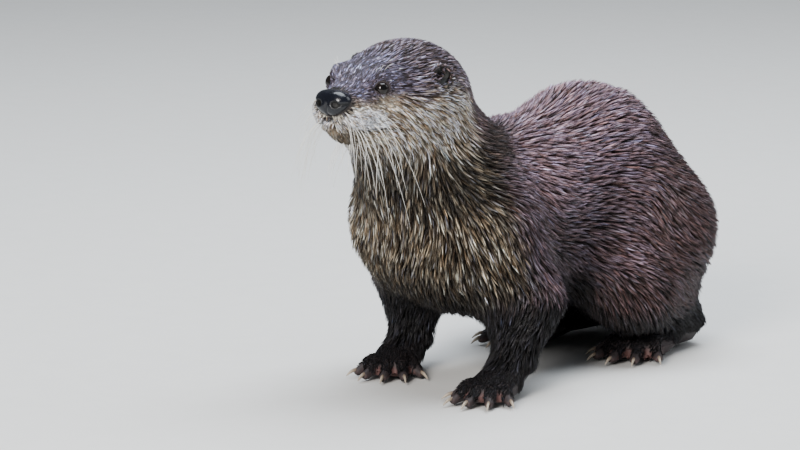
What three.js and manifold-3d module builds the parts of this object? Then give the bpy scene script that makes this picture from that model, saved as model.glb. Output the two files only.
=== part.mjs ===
// A life-size North American river otter, standing on its front feet with its back arched and its head raised.
// Units are millimetres: +Z is up, -Y is the way that the chest faces, +X is the animal's own left.
// The body is one implicit surface, grown from bones and muscles that melt together. It is meshed region by
// region, thinned, and parted into the pieces that a person would name.
import * as THREE from "three";
import { mergeVertices } from "three/addons/utils/BufferGeometryUtils.js";
import Module from "manifold-3d";

const wasm = await Module();
wasm.setup();

// ---------------------------------------------------------------------------------------------------------
// Driving dimensions, all out to the tips of the coat
// ---------------------------------------------------------------------------------------------------------
const HEAD_LENGTH = 145; // nose to the back of the skull
const GAP = 0.8; // width of the thin cuts between pieces
const SOLE_FLAT = 1.4; // depth that each sole and the tail is pressed flat on the floor
const EYE_RADIUS = 6.2;
const CLAW_LENGTH = 11;
const CLAW_RADIUS = 1.9;

// Middle of the box round the whole animal, which becomes the origin.
const BOX_MIDDLE = new THREE.Vector3(-98.9, 52.5, 0);

const COLOURS = {
  back: [0x3b2a22, 0.55],
  throat: [0x8a7c69, 0.6],
  legs: [0x231a17, 0.6],
  feet: [0x2b2524, 0.5],
  nose: [0x0e0f12, 0.25],
  eye: [0x0a0808, 0.08],
  claw: [0xb9a48c, 0.4],
};

const v = (x, y, z) => new THREE.Vector3(x, y, z);
const degrees = THREE.MathUtils.degToRad;
const sides = { left: 1, right: -1 };

// ---------------------------------------------------------------------------------------------------------
// Skeleton: the points that pose the animal
// ---------------------------------------------------------------------------------------------------------
const HEAD_CENTRE = v(3, -132, 233);
const HEAD_TURN = new THREE.Euler(degrees(-9), degrees(2), degrees(3), "ZXY");
const HEAD_FRAME = new THREE.Matrix4()
  .makeRotationFromEuler(HEAD_TURN)
  .setPosition(HEAD_CENTRE)
  .scale(v(1, 1, 1).multiplyScalar(HEAD_LENGTH / 145));
const inHead = (x, y, z) => v(x, y, z).applyMatrix4(HEAD_FRAME);

const TAIL_LINE = new THREE.CatmullRomCurve3(
  [v(-6, 166, 62), v(-30, 202, 43), v(-72, 250, 28), v(-134, 292, 20), v(-212, 318, 13.2), v(-292, 326, 5.8)],
  false,
  "centripetal",
);
const TAIL_RADII = [45, 37, 29, 21.5, 14.5, 7];

const FORELEGS = {
  left: { shoulder: v(46, -84, 124), elbow: v(62, -60, 74), wrist: v(64, -78, 28), paw: v(64, -98, 9), heading: 12 },
  right: { shoulder: v(-46, -78, 124), elbow: v(-60, -44, 76), wrist: v(-58, -50, 28), paw: v(-57, -68, 9), heading: 22 },
};
const HINDLEGS = {
  left: { hip: v(44, 130, 100), knee: v(58, 82, 64), heel: v(47, 164, 22), paw: v(50, 118, 10), heading: 8 },
  right: { hip: v(-44, 130, 100), knee: v(-58, 82, 64), heel: v(-50, 158, 22), paw: v(-54, 112, 10), heading: -6 },
};

// ---------------------------------------------------------------------------------------------------------
// Implicit shapes: each gives the distance to its surface, under zero inside
// ---------------------------------------------------------------------------------------------------------
// A bone with a ball at each end and straight sides between them.
function bone(a, radiusA, b, radiusB, blend = 14) {
  const along = b.clone().sub(a);
  const length2 = along.lengthSq();
  const taper = radiusA - radiusB;
  const slope2 = length2 - taper * taper;
  const distance = (x, y, z) => {
    const px = x - a.x;
    const py = y - a.y;
    const pz = z - a.z;
    const s = px * along.x + py * along.y + pz * along.z;
    const t = s - length2;
    const qx = px * length2 - along.x * s;
    const qy = py * length2 - along.y * s;
    const qz = pz * length2 - along.z * s;
    const across2 = qx * qx + qy * qy + qz * qz;
    const limit = Math.sign(taper) * taper * taper * across2;
    if (Math.sign(t) * slope2 * t * t * length2 > limit) {
      return Math.sqrt(across2 + t * t * length2) / length2 - radiusB;
    }
    if (Math.sign(s) * slope2 * s * s * length2 < limit) {
      return Math.sqrt(across2 + s * s * length2) / length2 - radiusA;
    }
    return (Math.sqrt((across2 * slope2) / length2) + s * taper) / length2 - radiusA;
  };
  const middle = a.clone().add(b).multiplyScalar(0.5);
  const reach = Math.sqrt(length2) / 2 + Math.max(radiusA, radiusB);
  return { distance, blend, middle, reach };
}

// An ellipsoid, turned by Euler angles in degrees.
function muscle(centre, radii, turn = [0, 0, 0], blend = 14) {
  const back = new THREE.Matrix4()
    .makeRotationFromEuler(new THREE.Euler(...turn.map(degrees), "ZXY"))
    .setPosition(centre)
    .invert().elements;
  const [rx, ry, rz] = radii;
  const distance = (x, y, z) => {
    const lx = (back[0] * x + back[4] * y + back[8] * z + back[12]) / rx;
    const ly = (back[1] * x + back[5] * y + back[9] * z + back[13]) / ry;
    const lz = (back[2] * x + back[6] * y + back[10] * z + back[14]) / rz;
    const near = Math.sqrt(lx * lx + ly * ly + lz * lz);
    const slope = Math.sqrt((lx / rx) ** 2 + (ly / ry) ** 2 + (lz / rz) ** 2);
    return slope < 1e-9 ? -Math.min(rx, ry, rz) : (near * (near - 1)) / slope;
  };
  return { distance, blend, middle: centre, reach: Math.max(rx, ry, rz) };
}

// The same, placed and turned with the head.
function headMuscle(centre, radii, turn = [0, 0, 0], blend = 10) {
  const made = muscle(v(...centre), radii, turn, blend);
  const back = HEAD_FRAME.clone().invert().elements;
  const distance = (x, y, z) =>
    made.distance(
      back[0] * x + back[4] * y + back[8] * z + back[12],
      back[1] * x + back[5] * y + back[9] * z + back[13],
      back[2] * x + back[6] * y + back[10] * z + back[14],
    );
  return { distance, blend, middle: inHead(...centre), reach: made.reach };
}

// All shapes melted into one, each with its own width of blend.
function melt(shapes) {
  return (x, y, z) => {
    let found = 1e6;
    for (const s of shapes) {
      const far = Math.hypot(x - s.middle.x, y - s.middle.y, z - s.middle.z) - s.reach;
      if (far > found + s.blend || far > 60) continue;
      const d = Math.max(s.distance(x, y, z), far);
      const mix = Math.max(s.blend - Math.abs(found - d), 0) / s.blend;
      found = Math.min(found, d) - (mix * mix * s.blend) / 4;
    }
    return found;
  };
}

// ---------------------------------------------------------------------------------------------------------
// The animal's flesh
// ---------------------------------------------------------------------------------------------------------
const trunkFlesh = [
  muscle(v(0, -88, 134), [51, 50, 66], [0, 0, 0], 20), // breast and shoulders
  muscle(v(0, -20, 117), [66, 82, 71], [0, 0, 0], 36), // ribs
  muscle(v(0, 2, 129), [54, 70, 71], [0, 0, 0], 30), // withers
  muscle(v(0, 79, 132), [60, 68, 86], [0, 0, 0], 30), // loin, the top of the arch
  muscle(v(0, 121, 124), [62, 61, 85], [0, 0, 0], 30), // pelvis
  muscle(v(0, 159, 70), [56, 43, 64], [0, 0, 0], 30), // rump
];

const neckFlesh = [
  bone(v(0, -82, 150), 58, v(0, -116, 210), 48, 28),
  bone(v(0, -104, 160), 42, v(1, -138, 206), 42, 20), // throat
];

const headFlesh = [
  headMuscle([0, 4, 6], [44, 49, 35], [0, 0, 0], 12), // braincase
  headMuscle([0, -31, 0], [35, 42, 28.5], [8, 0, 0], 12), // forehead and face
  headMuscle([0, -63, -14], [21, 27, 17], [0, 0, 0], 10), // muzzle
  headMuscle([0, -81, -13], [14, 11, 11], [0, 0, 0], 5), // nose
  headMuscle([0, -24, -25], [32, 46, 21], [0, 0, 0], 12), // lower jaw
  headMuscle([0, -67, -32.5], [14, 19, 11.5], [0, 0, 0], 8), // chin
  ...Object.values(sides).flatMap((side) => [
    headMuscle([side * 11.5, -71.5, -20], [15, 17.5, 12.5], [0, 0, side * 12], 7), // whisker pad
    headMuscle([side * 30, -8, -12], [20, 34, 27], [0, 0, side * 6], 14), // cheek
    headMuscle([side * 20, -54, 9], [8, 13, 6], [0, 0, side * 14], 8), // brow
  ]),
];

const TAIL_STEPS = 12;
const tailRadius = (u) => {
  const at = u * (TAIL_RADII.length - 1);
  const i = Math.min(Math.floor(at), TAIL_RADII.length - 2);
  return THREE.MathUtils.lerp(TAIL_RADII[i], TAIL_RADII[i + 1], at - i);
};
const tailFlesh = Array.from({ length: TAIL_STEPS }, (_, i) => {
  const [from, to] = [i / TAIL_STEPS, (i + 1) / TAIL_STEPS];
  return bone(TAIL_LINE.getPoint(from), tailRadius(from), TAIL_LINE.getPoint(to), tailRadius(to), i ? 2.5 : 24);
});

// Toes fan out from the middle of the foot, the outer ones shorter.
const TOES = [
  { turn: -62, share: 0.74 },
  { turn: -30, share: 0.95 },
  { turn: -4, share: 1.0 },
  { turn: 22, share: 0.96 },
  { turn: 52, share: 0.8 },
];

function toeLine(foot, side, toe) {
  const angle = degrees(foot.heading + side * toe.turn * foot.spread);
  const way = v(Math.sin(angle), -Math.cos(angle), 0);
  const root = foot.paw.clone().addScaledVector(way, foot.length * 0.16);
  const knuckle = foot.paw.clone().addScaledVector(way, foot.length * toe.share * 0.66);
  const tip = foot.paw.clone().addScaledVector(way, foot.length * toe.share);
  root.z = foot.arch;
  knuckle.z = foot.arch + 1;
  tip.z = foot.toe - SOLE_FLAT * 0.4;
  return { way, root, knuckle, tip };
}

function footFlesh(foot, side) {
  const turn = [0, 0, foot.heading];
  const toes = TOES.flatMap((toe) => {
    const line = toeLine(foot, side, toe);
    return [
      bone(line.root, foot.toe * 1.15, line.knuckle, foot.toe, 5),
      bone(line.knuckle, foot.toe, line.tip, foot.toe * 0.82, 3),
    ];
  });
  const webMiddle = v(0, -foot.length * 0.34, 0)
    .applyAxisAngle(v(0, 0, 1), degrees(foot.heading))
    .add(foot.paw)
    .setZ(foot.toe * 0.7);
  return [
    muscle(foot.paw.clone().setZ(foot.arch), [foot.width * 0.42, foot.length * 0.44, foot.arch * 1.05], turn, 10),
    ...toes,
    muscle(webMiddle, [foot.width * 0.42, foot.length * 0.42, foot.toe * 0.45], turn, 3), // web
  ];
}

const forefoot = (leg) => ({ ...leg, length: 42, width: 45, arch: 10.5, toe: 5.4, spread: 0.84 });
const hindfoot = (leg) => ({ ...leg, length: 56, width: 56, arch: 11, toe: 5.6, spread: 0.72 });

function forelegFlesh(leg) {
  return [
    muscle(leg.shoulder, [28, 42, 54], [20, 0, 0], 26), // shoulder
    bone(leg.shoulder, 32, leg.elbow, 28, 24), // upper arm
    bone(leg.elbow, 25, leg.wrist, 16, 16), // forearm
    bone(leg.wrist, 15.5, leg.paw, 11, 10), // wrist
  ];
}

function hindlegFlesh(leg) {
  return [
    bone(leg.hip, 52, leg.knee, 36, 34), // thigh
    bone(leg.knee, 28, leg.heel, 18, 22), // shank
    bone(leg.heel, 16, leg.paw, 13, 12), // instep
  ];
}

const legFlesh = (name) => ({
  fore: forelegFlesh(FORELEGS[name]),
  hind: hindlegFlesh(HINDLEGS[name]),
  forefoot: footFlesh(forefoot(FORELEGS[name]), sides[name]),
  hindfoot: footFlesh(hindfoot(HINDLEGS[name]), sides[name]),
});
const legs = { left: legFlesh("left"), right: legFlesh("right") };
const wholeFlesh = [
  ...trunkFlesh,
  ...neckFlesh,
  ...headFlesh,
  ...tailFlesh,
  ...Object.values(legs).flatMap((leg) => [...leg.fore, ...leg.forefoot, ...leg.hind, ...leg.hindfoot]),
];
const footless = wholeFlesh.filter((s) => !Object.values(legs).some((leg) => [...leg.forefoot, ...leg.hindfoot].includes(s)));

// Only the shapes that reach into a box, melted, and closed off just inside the box.
function meltInside(shapes, low, high, margin) {
  const near = shapes.filter((s) => {
    const closest = s.middle.clone().clamp(low, high);
    return closest.distanceTo(s.middle) < s.reach + s.blend + 2;
  });
  const flesh = melt(near);
  const middle = low.clone().add(high).multiplyScalar(0.5);
  const half = high.clone().sub(low).multiplyScalar(0.5).subScalar(margin);
  return (x, y, z) =>
    Math.max(flesh(x, y, z), Math.abs(x - middle.x) - half.x, Math.abs(y - middle.y) - half.y, Math.abs(z - middle.z) - half.z);
}

// ---------------------------------------------------------------------------------------------------------
// Meshing: a net over the surface, then edges collapsed where the form is flattest
// ---------------------------------------------------------------------------------------------------------
function net(distance, low, high, cell) {
  const count = high.clone().sub(low).divideScalar(cell).ceil().addScalar(1);
  const [nx, ny, nz] = count.toArray();
  const field = new Float32Array(nx * ny * nz);
  const at = (i, j, k) => (k * ny + j) * nx + i;
  const block = 4;
  const sample = (i, j, k) => distance(low.x + i * cell, low.y + j * cell, low.z + k * cell);
  for (let k = 0; k < nz; k += block) {
    for (let j = 0; j < ny; j += block) {
      for (let i = 0; i < nx; i += block) {
        const centre = sample(i + 1.5, j + 1.5, k + 1.5);
        const far = Math.abs(centre) > block * cell * 1.3;
        for (let kk = k; kk < Math.min(k + block, nz); kk++) {
          for (let jj = j; jj < Math.min(j + block, ny); jj++) {
            for (let ii = i; ii < Math.min(i + block, nx); ii++) {
              field[at(ii, jj, kk)] = far ? centre : sample(ii, jj, kk);
            }
          }
        }
      }
    }
  }
  fillPinches(field, [nx, ny, nz], at);
  const points = [];
  const cellPoint = new Map();
  const pointOf = (i, j, k) => {
    const key = at(i, j, k);
    if (cellPoint.has(key)) return cellPoint.get(key);
    const sum = v(0, 0, 0);
    let crossings = 0;
    for (let e = 0; e < 12; e++) {
      const axis = e >> 2;
      const step = [0, 0, 0];
      const [p, q] = [(axis + 1) % 3, (axis + 2) % 3];
      step[p] = e & 1;
      step[q] = (e >> 1) & 1;
      const from = field[at(i + step[0], j + step[1], k + step[2])];
      const next = [...step];
      next[axis] = 1;
      const to = field[at(i + next[0], j + next[1], k + next[2])];
      if (from < 0 === to < 0) continue;
      step[axis] = from / (from - to);
      sum.add(v(...step));
      crossings++;
    }
    sum.divideScalar(crossings).add(v(i, j, k)).multiplyScalar(cell).add(low);
    settle(sum, distance, cell);
    cellPoint.set(key, points.length);
    points.push(sum);
    return points.length - 1;
  };
  const faces = [];
  const steps = [at(1, 0, 0), at(0, 1, 0), at(0, 0, 1)];
  for (let k = 1; k < nz - 1; k++) {
    for (let j = 1; j < ny - 1; j++) {
      for (let i = 1; i < nx - 1; i++) {
        const here = field[at(i, j, k)] < 0;
        for (let axis = 0; axis < 3; axis++) {
          if (here === field[at(i, j, k) + steps[axis]] < 0) continue;
          const [p, q] = [(axis + 1) % 3, (axis + 2) % 3];
          const corner = (dp, dq) => {
            const c = [i, j, k];
            c[p] -= dp;
            c[q] -= dq;
            return pointOf(...c);
          };
          const [a, b, c, d] = [corner(1, 1), corner(0, 1), corner(0, 0), corner(1, 0)];
          if (here) faces.push([a, b, c], [a, c, d]);
          else faces.push([a, c, b], [a, d, c]);
        }
      }
    }
  }
  return { points, faces };
}

// Where two corners of a grid square are inside and the other two outside, crosswise, the net would pinch:
// one outer corner is taken in.
function fillPinches(field, [nx, ny, nz], at) {
  const steps = [at(1, 0, 0), at(0, 1, 0), at(0, 0, 1)];
  const inside = 0.05;
  for (let found = true; found; ) {
    found = false;
    for (let n = 0; n < field.length - steps[1] - steps[2]; n++) {
      for (let axis = 0; axis < 3; axis++) {
        const [p, q] = [steps[(axis + 1) % 3], steps[(axis + 2) % 3]];
        const [a, b, c, d] = [field[n] < 0, field[n + p] < 0, field[n + p + q] < 0, field[n + q] < 0];
        if (a !== c || b !== d || a === b) continue;
        field[a ? n + p : n] = -inside;
        found = true;
      }
    }
  }
}

// Moves a point along the slope of the distance until it lies on the surface.
function settle(p, distance, cell) {
  const h = 0.3;
  for (let turn = 0; turn < 2; turn++) {
    const d = distance(p.x, p.y, p.z);
    const slope = v(
      distance(p.x + h, p.y, p.z) - distance(p.x - h, p.y, p.z),
      distance(p.x, p.y + h, p.z) - distance(p.x, p.y - h, p.z),
      distance(p.x, p.y, p.z + h) - distance(p.x, p.y, p.z - h),
    ).divideScalar(2 * h);
    const size2 = Math.max(slope.lengthSq(), 0.2);
    p.addScaledVector(slope, -THREE.MathUtils.clamp(d / size2, -cell / 3, cell / 3));
  }
}

// Quadric edge collapse down to the number of triangles asked for.
function thin({ points, faces }, target) {
  const quadrics = points.map(() => new Float64Array(10));
  const around = points.map(() => new Set());
  const normalOf = ([a, b, c], move = -1, to = null) => {
    const [pa, pb, pc] = [a, b, c].map((i) => (i === move ? to : points[i]));
    return pb.clone().sub(pa).cross(pc.clone().sub(pa));
  };
  faces.forEach((face, f) => {
    const n = normalOf(face);
    const area = n.length() / 2;
    n.normalize();
    const w = -n.dot(points[face[0]]);
    const q = [n.x * n.x, n.x * n.y, n.x * n.z, n.x * w, n.y * n.y, n.y * n.z, n.y * w, n.z * n.z, n.z * w, w * w];
    for (const i of face) {
      around[i].add(f);
      for (let m = 0; m < 10; m++) quadrics[i][m] += q[m] * area;
    }
  });
  const error = (q, p) =>
    q[0] * p.x * p.x + 2 * q[1] * p.x * p.y + 2 * q[2] * p.x * p.z + 2 * q[3] * p.x + q[4] * p.y * p.y +
    2 * q[5] * p.y * p.z + 2 * q[6] * p.y + q[7] * p.z * p.z + 2 * q[8] * p.z + q[9];
  const heap = [];
  const stamp = new Uint32Array(points.length);
  const place = (a, b) => {
    const q = quadrics[a].map((x, m) => x + quadrics[b][m]);
    const middle = points[a].clone().add(points[b]).multiplyScalar(0.5);
    const m = new THREE.Matrix3().set(q[0], q[1], q[2], q[1], q[4], q[5], q[2], q[5], q[7]);
    const size = (q[0] + q[4] + q[7]) / 3;
    if (m.determinant() > 1e-3 * size ** 3) {
      const best = v(-q[3], -q[6], -q[8]).applyMatrix3(m.invert());
      if (best.distanceTo(middle) < points[a].distanceTo(points[b])) return [best, q];
    }
    return [middle, q];
  };
  const push = (a, b) => {
    const [p, q] = place(a, b);
    const cost = Math.max(error(q, p), 0) + 1e-4 * points[a].distanceToSquared(points[b]);
    const entry = { cost, a, b, p, q, at: stamp[a] + stamp[b] };
    let i = heap.push(entry) - 1;
    while (i && heap[(i - 1) >> 1].cost > cost) {
      heap[i] = heap[(i - 1) >> 1];
      i = (i - 1) >> 1;
    }
    heap[i] = entry;
  };
  const pop = () => {
    const top = heap[0];
    const last = heap.pop();
    let i = 0;
    while (heap.length) {
      let child = 2 * i + 1;
      if (child >= heap.length) break;
      if (child + 1 < heap.length && heap[child + 1].cost < heap[child].cost) child++;
      if (heap[child].cost >= last.cost) break;
      heap[i] = heap[child];
      i = child;
    }
    if (heap.length) heap[i] = last;
    return top;
  };
  const neighbours = (i) => new Set([...around[i]].flatMap((f) => faces[f]).filter((j) => j !== i));
  points.forEach((_, a) => neighbours(a).forEach((b) => a < b && push(a, b)));
  let left = faces.length;
  while (left > target && heap.length) {
    const { a, b, p, q, at } = pop();
    if (!around[a] || !around[b] || stamp[a] + stamp[b] !== at) continue;
    const shared = [...around[a]].filter((f) => around[b].has(f));
    const ringB = neighbours(b);
    const common = [...neighbours(a)].filter((j) => ringB.has(j));
    if (shared.length !== 2 || common.length !== 2) continue;
    const turned = (i) =>
      [...around[i]].some((f) => {
        if (shared.includes(f)) return false;
        const before = normalOf(faces[f]);
        const after = normalOf(faces[f], i, p);
        return before.dot(after) < 0.35 * before.length() * after.length();
      });
    if (turned(a) || turned(b)) continue;
    points[a].copy(p);
    quadrics[a] = q;
    for (const f of shared) {
      faces[f].forEach((i) => around[i].delete(f));
      faces[f] = null;
      left--;
    }
    for (const f of around[b]) {
      faces[f] = faces[f].map((i) => (i === b ? a : i));
      around[a].add(f);
    }
    around[b] = null;
    const ring = neighbours(a);
    stamp[a] += 1e5;
    ring.forEach((i) => push(Math.min(a, i), Math.max(a, i)));
  }
  return { points, faces: faces.filter(Boolean) };
}

function solidOfMesh({ points, faces }) {
  const geometry = new THREE.BufferGeometry().setFromPoints(faces.flat().map((i) => points[i]));
  return solidOf(geometry);
}

function solidOf(geometry, matrix = new THREE.Matrix4()) {
  const plain = geometry.clone().applyMatrix4(matrix);
  plain.deleteAttribute("normal");
  plain.deleteAttribute("uv");
  const merged = mergeVertices(plain, 1e-4);
  return new wasm.Manifold(
    new wasm.Mesh({
      numProp: 3,
      vertProperties: merged.attributes.position.array,
      triVerts: new Uint32Array(merged.index.array),
    }),
  );
}

// The flesh inside a box, as a solid of about the number of triangles asked for.
function grow(shapes, low, high, cell, triangles) {
  return solidOfMesh(thin(net(meltInside(shapes, low, high, 2 * cell), low, high, cell), triangles));
}

function geometryOf(solid) {
  const mesh = solid.getMesh();
  return new THREE.BufferGeometry()
    .setAttribute("position", new THREE.BufferAttribute(mesh.vertProperties, 3))
    .setIndex(new THREE.BufferAttribute(mesh.triVerts, 1))
    .toNonIndexed();
}

function largest(solid) {
  return solid.decompose().sort((a, b) => b.volume() - a.volume())[0];
}

// Without the slivers that cuts leave.
function tidy(solid) {
  return largest(solid.simplify(0.22));
}

// ---------------------------------------------------------------------------------------------------------
// Cutters
// ---------------------------------------------------------------------------------------------------------
// All space behind a plane, which is seen from the point that its normal leads to.
function behind(point, normal, offset = 0, size = 1200) {
  const turn = new THREE.Quaternion().setFromUnitVectors(v(0, 0, 1), normal.clone().normalize());
  const middle = point.clone().addScaledVector(normal.clone().normalize(), offset - size / 2);
  return solidOf(new THREE.BoxGeometry(size, size, size), new THREE.Matrix4().compose(middle, turn, v(1, 1, 1)));
}

// A thin cut along a plane: the part in front of it, then the part behind it.
function split(solid, point, normal) {
  return [
    largest(solid.subtract(behind(point, normal, GAP / 2))),
    largest(solid.intersect(behind(point, normal, -GAP / 2))),
  ];
}

// A turned ellipsoid, grown by an offset.
function egg(centre, radii, turn, offset = 0, segments = 16) {
  const scale = v(...radii).addScalar(offset);
  return solidOf(
    new THREE.SphereGeometry(1, segments, Math.round(segments * 0.7)),
    new THREE.Matrix4().compose(centre, turn, scale),
  );
}

// A smooth bag round balls, grown by an offset.
function bag(balls, offset = 0, segments = 12) {
  return wasm.Manifold.hull(
    balls.map(([centre, radius]) => wasm.Manifold.sphere(radius + offset, segments).translate(centre.toArray())),
  );
}

// ---------------------------------------------------------------------------------------------------------
// Whole body, head and feet
// ---------------------------------------------------------------------------------------------------------
const pieces = {};
const floor = behind(v(0, 0, 0), v(0, 0, 1));
const headTurn = new THREE.Quaternion().setFromEuler(HEAD_TURN);

const NAPE = { point: v(2, -112, 203), normal: v(0, -0.62, 0.78) };
const COLLAR = { point: v(0, -88, 158), normal: v(0, -0.42, 0.9) };

let body = grow(footless, v(-330, -230, -30), v(120, 370, 250), 6.6, 2400);

// Head: everything in front of the nape.
let head = split(grow(wholeFlesh, v(-70, -245, 130), v(76, -50, 300), 3.6, 1080), NAPE.point, NAPE.normal)[0];
body = split(body, NAPE.point, NAPE.normal)[1];

const eyeAt = (side) => inHead(side * 21.5, -59.8, 0.9);
const earAt = (side) => inHead(side * 40, -10.5, 15.5);
const NOSE_RADII = [15.2, 10.5, 10.2];
const nosePlace = inHead(0, -85.8, -13);
const EAR_RADII = [7, 9, 10];
for (const [name, side] of Object.entries(sides)) {
  const round = (radius) => wasm.Manifold.sphere(radius, 12).translate(eyeAt(side).toArray());
  pieces[`eye_${name}`] = [round(EYE_RADIUS), "eye"];
  head = head.subtract(round(EYE_RADIUS + GAP));
  const shell = egg(earAt(side), EAR_RADII, headTurn, 0, 10);
  const hollow = egg(inHead(side * 45.2, -14.5, 16), [6, 7, 7.5], headTurn, 0, 8);
  pieces[`ear_${name}`] = [shell.subtract(hollow), "back"];
  head = head.subtract(egg(earAt(side), EAR_RADII, headTurn, GAP, 10));
}
const nostrils = Object.values(sides).map((side) =>
  egg(inHead(side * 8, -94.8, -13.5), [3.2, 4, 4.2], headTurn, 0, 6),
);
pieces.nose = [
  nostrils.reduce((solid, nostril) => solid.subtract(nostril), egg(nosePlace, NOSE_RADII, headTurn, 0, 10)),
  "nose",
];
head = head.subtract(egg(nosePlace, NOSE_RADII, headTurn, GAP, 10));
pieces.head = [largest(head), "back"];

// ---------------------------------------------------------------------------------------------------------
// Legs: parted from the trunk by a bag, then cut across at the joints
// ---------------------------------------------------------------------------------------------------------
function claws(foot, side, name) {
  return TOES.map((toe, i) => {
    const line = toeLine(foot, side, toe);
    const along = (share, height) => line.tip.clone().addScaledVector(line.way, CLAW_LENGTH * share).setZ(height);
    const middles = [along(-0.1, foot.toe * 1.1), along(0.35, foot.toe * 1.2), along(0.72, foot.toe * 0.85), along(1, 2)];
    const radii = [CLAW_RADIUS, CLAW_RADIUS, CLAW_RADIUS * 0.7, 0.4];
    return {
      name: `${name}_${i + 1}`,
      solid: horn(middles, radii, line.way),
      socket: horn(middles, radii.map((radius) => radius + GAP), line.way, GAP),
    };
  });
}

// Rings of five corners joined into a bent cone, closed at both ends.
function horn(middles, radii, way, longer = 0) {
  const across = way.clone().cross(v(0, 0, 1)).normalize();
  const corners = middles.flatMap((middle, m) => {
    const next = middles[Math.min(m + 1, middles.length - 1)].clone().sub(middles[Math.max(m - 1, 0)]).normalize();
    const over = across.clone().cross(next).normalize();
    const end = m === 0 ? -longer : m === middles.length - 1 ? longer : 0;
    return Array.from({ length: 5 }, (_, k) => {
      const angle = (k * Math.PI * 2) / 5;
      return middle
        .clone()
        .addScaledVector(across, Math.cos(angle) * radii[m] * 0.8)
        .addScaledVector(over, Math.sin(angle) * radii[m])
        .addScaledVector(next, end);
    });
  });
  const faces = [];
  for (let m = 0; m + 1 < middles.length; m++) {
    for (let k = 0; k < 5; k++) {
      const [a, b] = [m * 5 + k, m * 5 + ((k + 1) % 5)];
      faces.push([a, b + 5, b], [a, a + 5, b + 5]);
    }
  }
  const last = corners.length - 5;
  for (let k = 1; k < 4; k++) faces.push([0, k, k + 1], [last, last + k + 1, last + k]);
  return solidOfMesh({ points: corners, faces });
}

function finishFoot(solid, foot, side, clawName) {
  let trimmed = solid.subtract(floor);
  for (const claw of claws(foot, side, clawName)) {
    pieces[claw.name] = [claw.solid.subtract(floor), "claw"];
    trimmed = trimmed.subtract(claw.socket);
  }
  return largest(trimmed);
}

for (const [name, side] of Object.entries(sides)) {
  const outward = (point, by) => point.clone().add(v(side * by, 0, 0));

  // Foreleg
  const fore = FORELEGS[name];
  const foreBag = (offset) =>
    bag([[outward(fore.shoulder, 18), 46], [outward(fore.elbow, 8), 42]], offset).add(
      bag([[outward(fore.elbow, 8), 42], [fore.wrist, 34], [fore.paw, 50]], offset),
    );
  const foreleg = largest(body.intersect(foreBag(0)));
  body = body.subtract(foreBag(GAP));
  const elbow = { point: fore.elbow.clone().add(v(0, 0, -4)), normal: fore.wrist.clone().sub(fore.elbow) };
  const wrist = { point: fore.wrist.clone().lerp(fore.paw, 0.15), normal: fore.paw.clone().sub(fore.wrist).add(v(0, 0, -8)) };
  const [lower, upper] = split(foreleg, elbow.point, elbow.normal);
  pieces[`upper_arm_${name}`] = [upper, "legs"];
  pieces[`forearm_${name}`] = [split(lower, wrist.point, wrist.normal)[1], "legs"];
  const forePaw = forefoot(fore);
  const hand = grow(wholeFlesh, fore.paw.clone().add(v(-62, -66, -22)), fore.paw.clone().add(v(62, 46, 50)), 2.8, 235);
  pieces[`forefoot_${name}`] = [
    finishFoot(split(hand, wrist.point, wrist.normal)[0], forePaw, side, `claw_fore_${name}`), "feet",
  ];

  // Hindleg
  const hind = HINDLEGS[name];
  const hindBag = (offset) =>
    bag([[outward(hind.hip, 30), 58], [outward(hind.knee, 18), 50], [outward(hind.heel, 10), 44], [hind.paw, 50]], offset);
  const hindleg = largest(body.intersect(hindBag(0)));
  body = body.subtract(hindBag(GAP));
  const shin = hind.heel.clone().sub(hind.knee).normalize();
  const hock = { point: hind.knee.clone().lerp(hind.heel, 0.5).add(v(0, 10, 20)), normal: v(0, shin.z, -shin.y) };
  const instep = { point: hind.heel.clone().add(v(0, -8, 4)), normal: v(0, 0.1, -1) };
  const [below, thigh] = split(hindleg, hock.point, hock.normal);
  pieces[`thigh_${name}`] = [thigh, "legs"];
  pieces[`shank_${name}`] = [split(below, instep.point, instep.normal)[1], "legs"];
  const hindPaw = hindfoot(hind);
  const sole = grow(wholeFlesh, hind.paw.clone().add(v(-62, -80, -22)), hind.paw.clone().add(v(62, 80, 44)), 3, 250);
  const footPart = split(sole, instep.point, instep.normal)[0].intersect(hindBag(0));
  pieces[`hindfoot_${name}`] = [finishFoot(footPart, hindPaw, side, `claw_hind_${name}`), "feet"];
}

// ---------------------------------------------------------------------------------------------------------
// Tail, trunk and neck
// ---------------------------------------------------------------------------------------------------------
const TAIL_CUTS = { tail_root: 0.15, tail_middle: 0.46, tail_tip: 0.74 };
body = body.subtract(floor);
const tailPieces = [];
for (const [name, along] of Object.entries(TAIL_CUTS).reverse()) {
  const [back, front] = split(body, TAIL_LINE.getPointAt(along), TAIL_LINE.getTangentAt(along));
  pieces[name] = [back, "back"];
  body = front;
}
const [neck, trunk] = split(body, COLLAR.point, COLLAR.normal);
pieces.neck = [neck, "throat"];
pieces.trunk = [trunk, "back"];

// ---------------------------------------------------------------------------------------------------------
// Meshes
// ---------------------------------------------------------------------------------------------------------
const otter = new THREE.Group();
otter.name = "river_otter";
for (const [name, [solid, colour]] of Object.entries(pieces)) {
  const [hex, roughness] = COLOURS[colour];
  const mesh = new THREE.Mesh(geometryOf(tidy(solid)), new THREE.MeshStandardMaterial({ color: hex, roughness }));
  mesh.name = name;
  otter.add(mesh);
}
otter.position.copy(BOX_MIDDLE).negate();
otter.updateMatrixWorld(true);

export default otter;
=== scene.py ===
"""A life-size river otter with a wet, clumped coat, dressed over its frame."""
import math

import bpy
import numpy as np
from mathutils import Matrix, Vector
from mathutils.bvhtree import BVHTree
from mathutils.kdtree import KDTree


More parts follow.
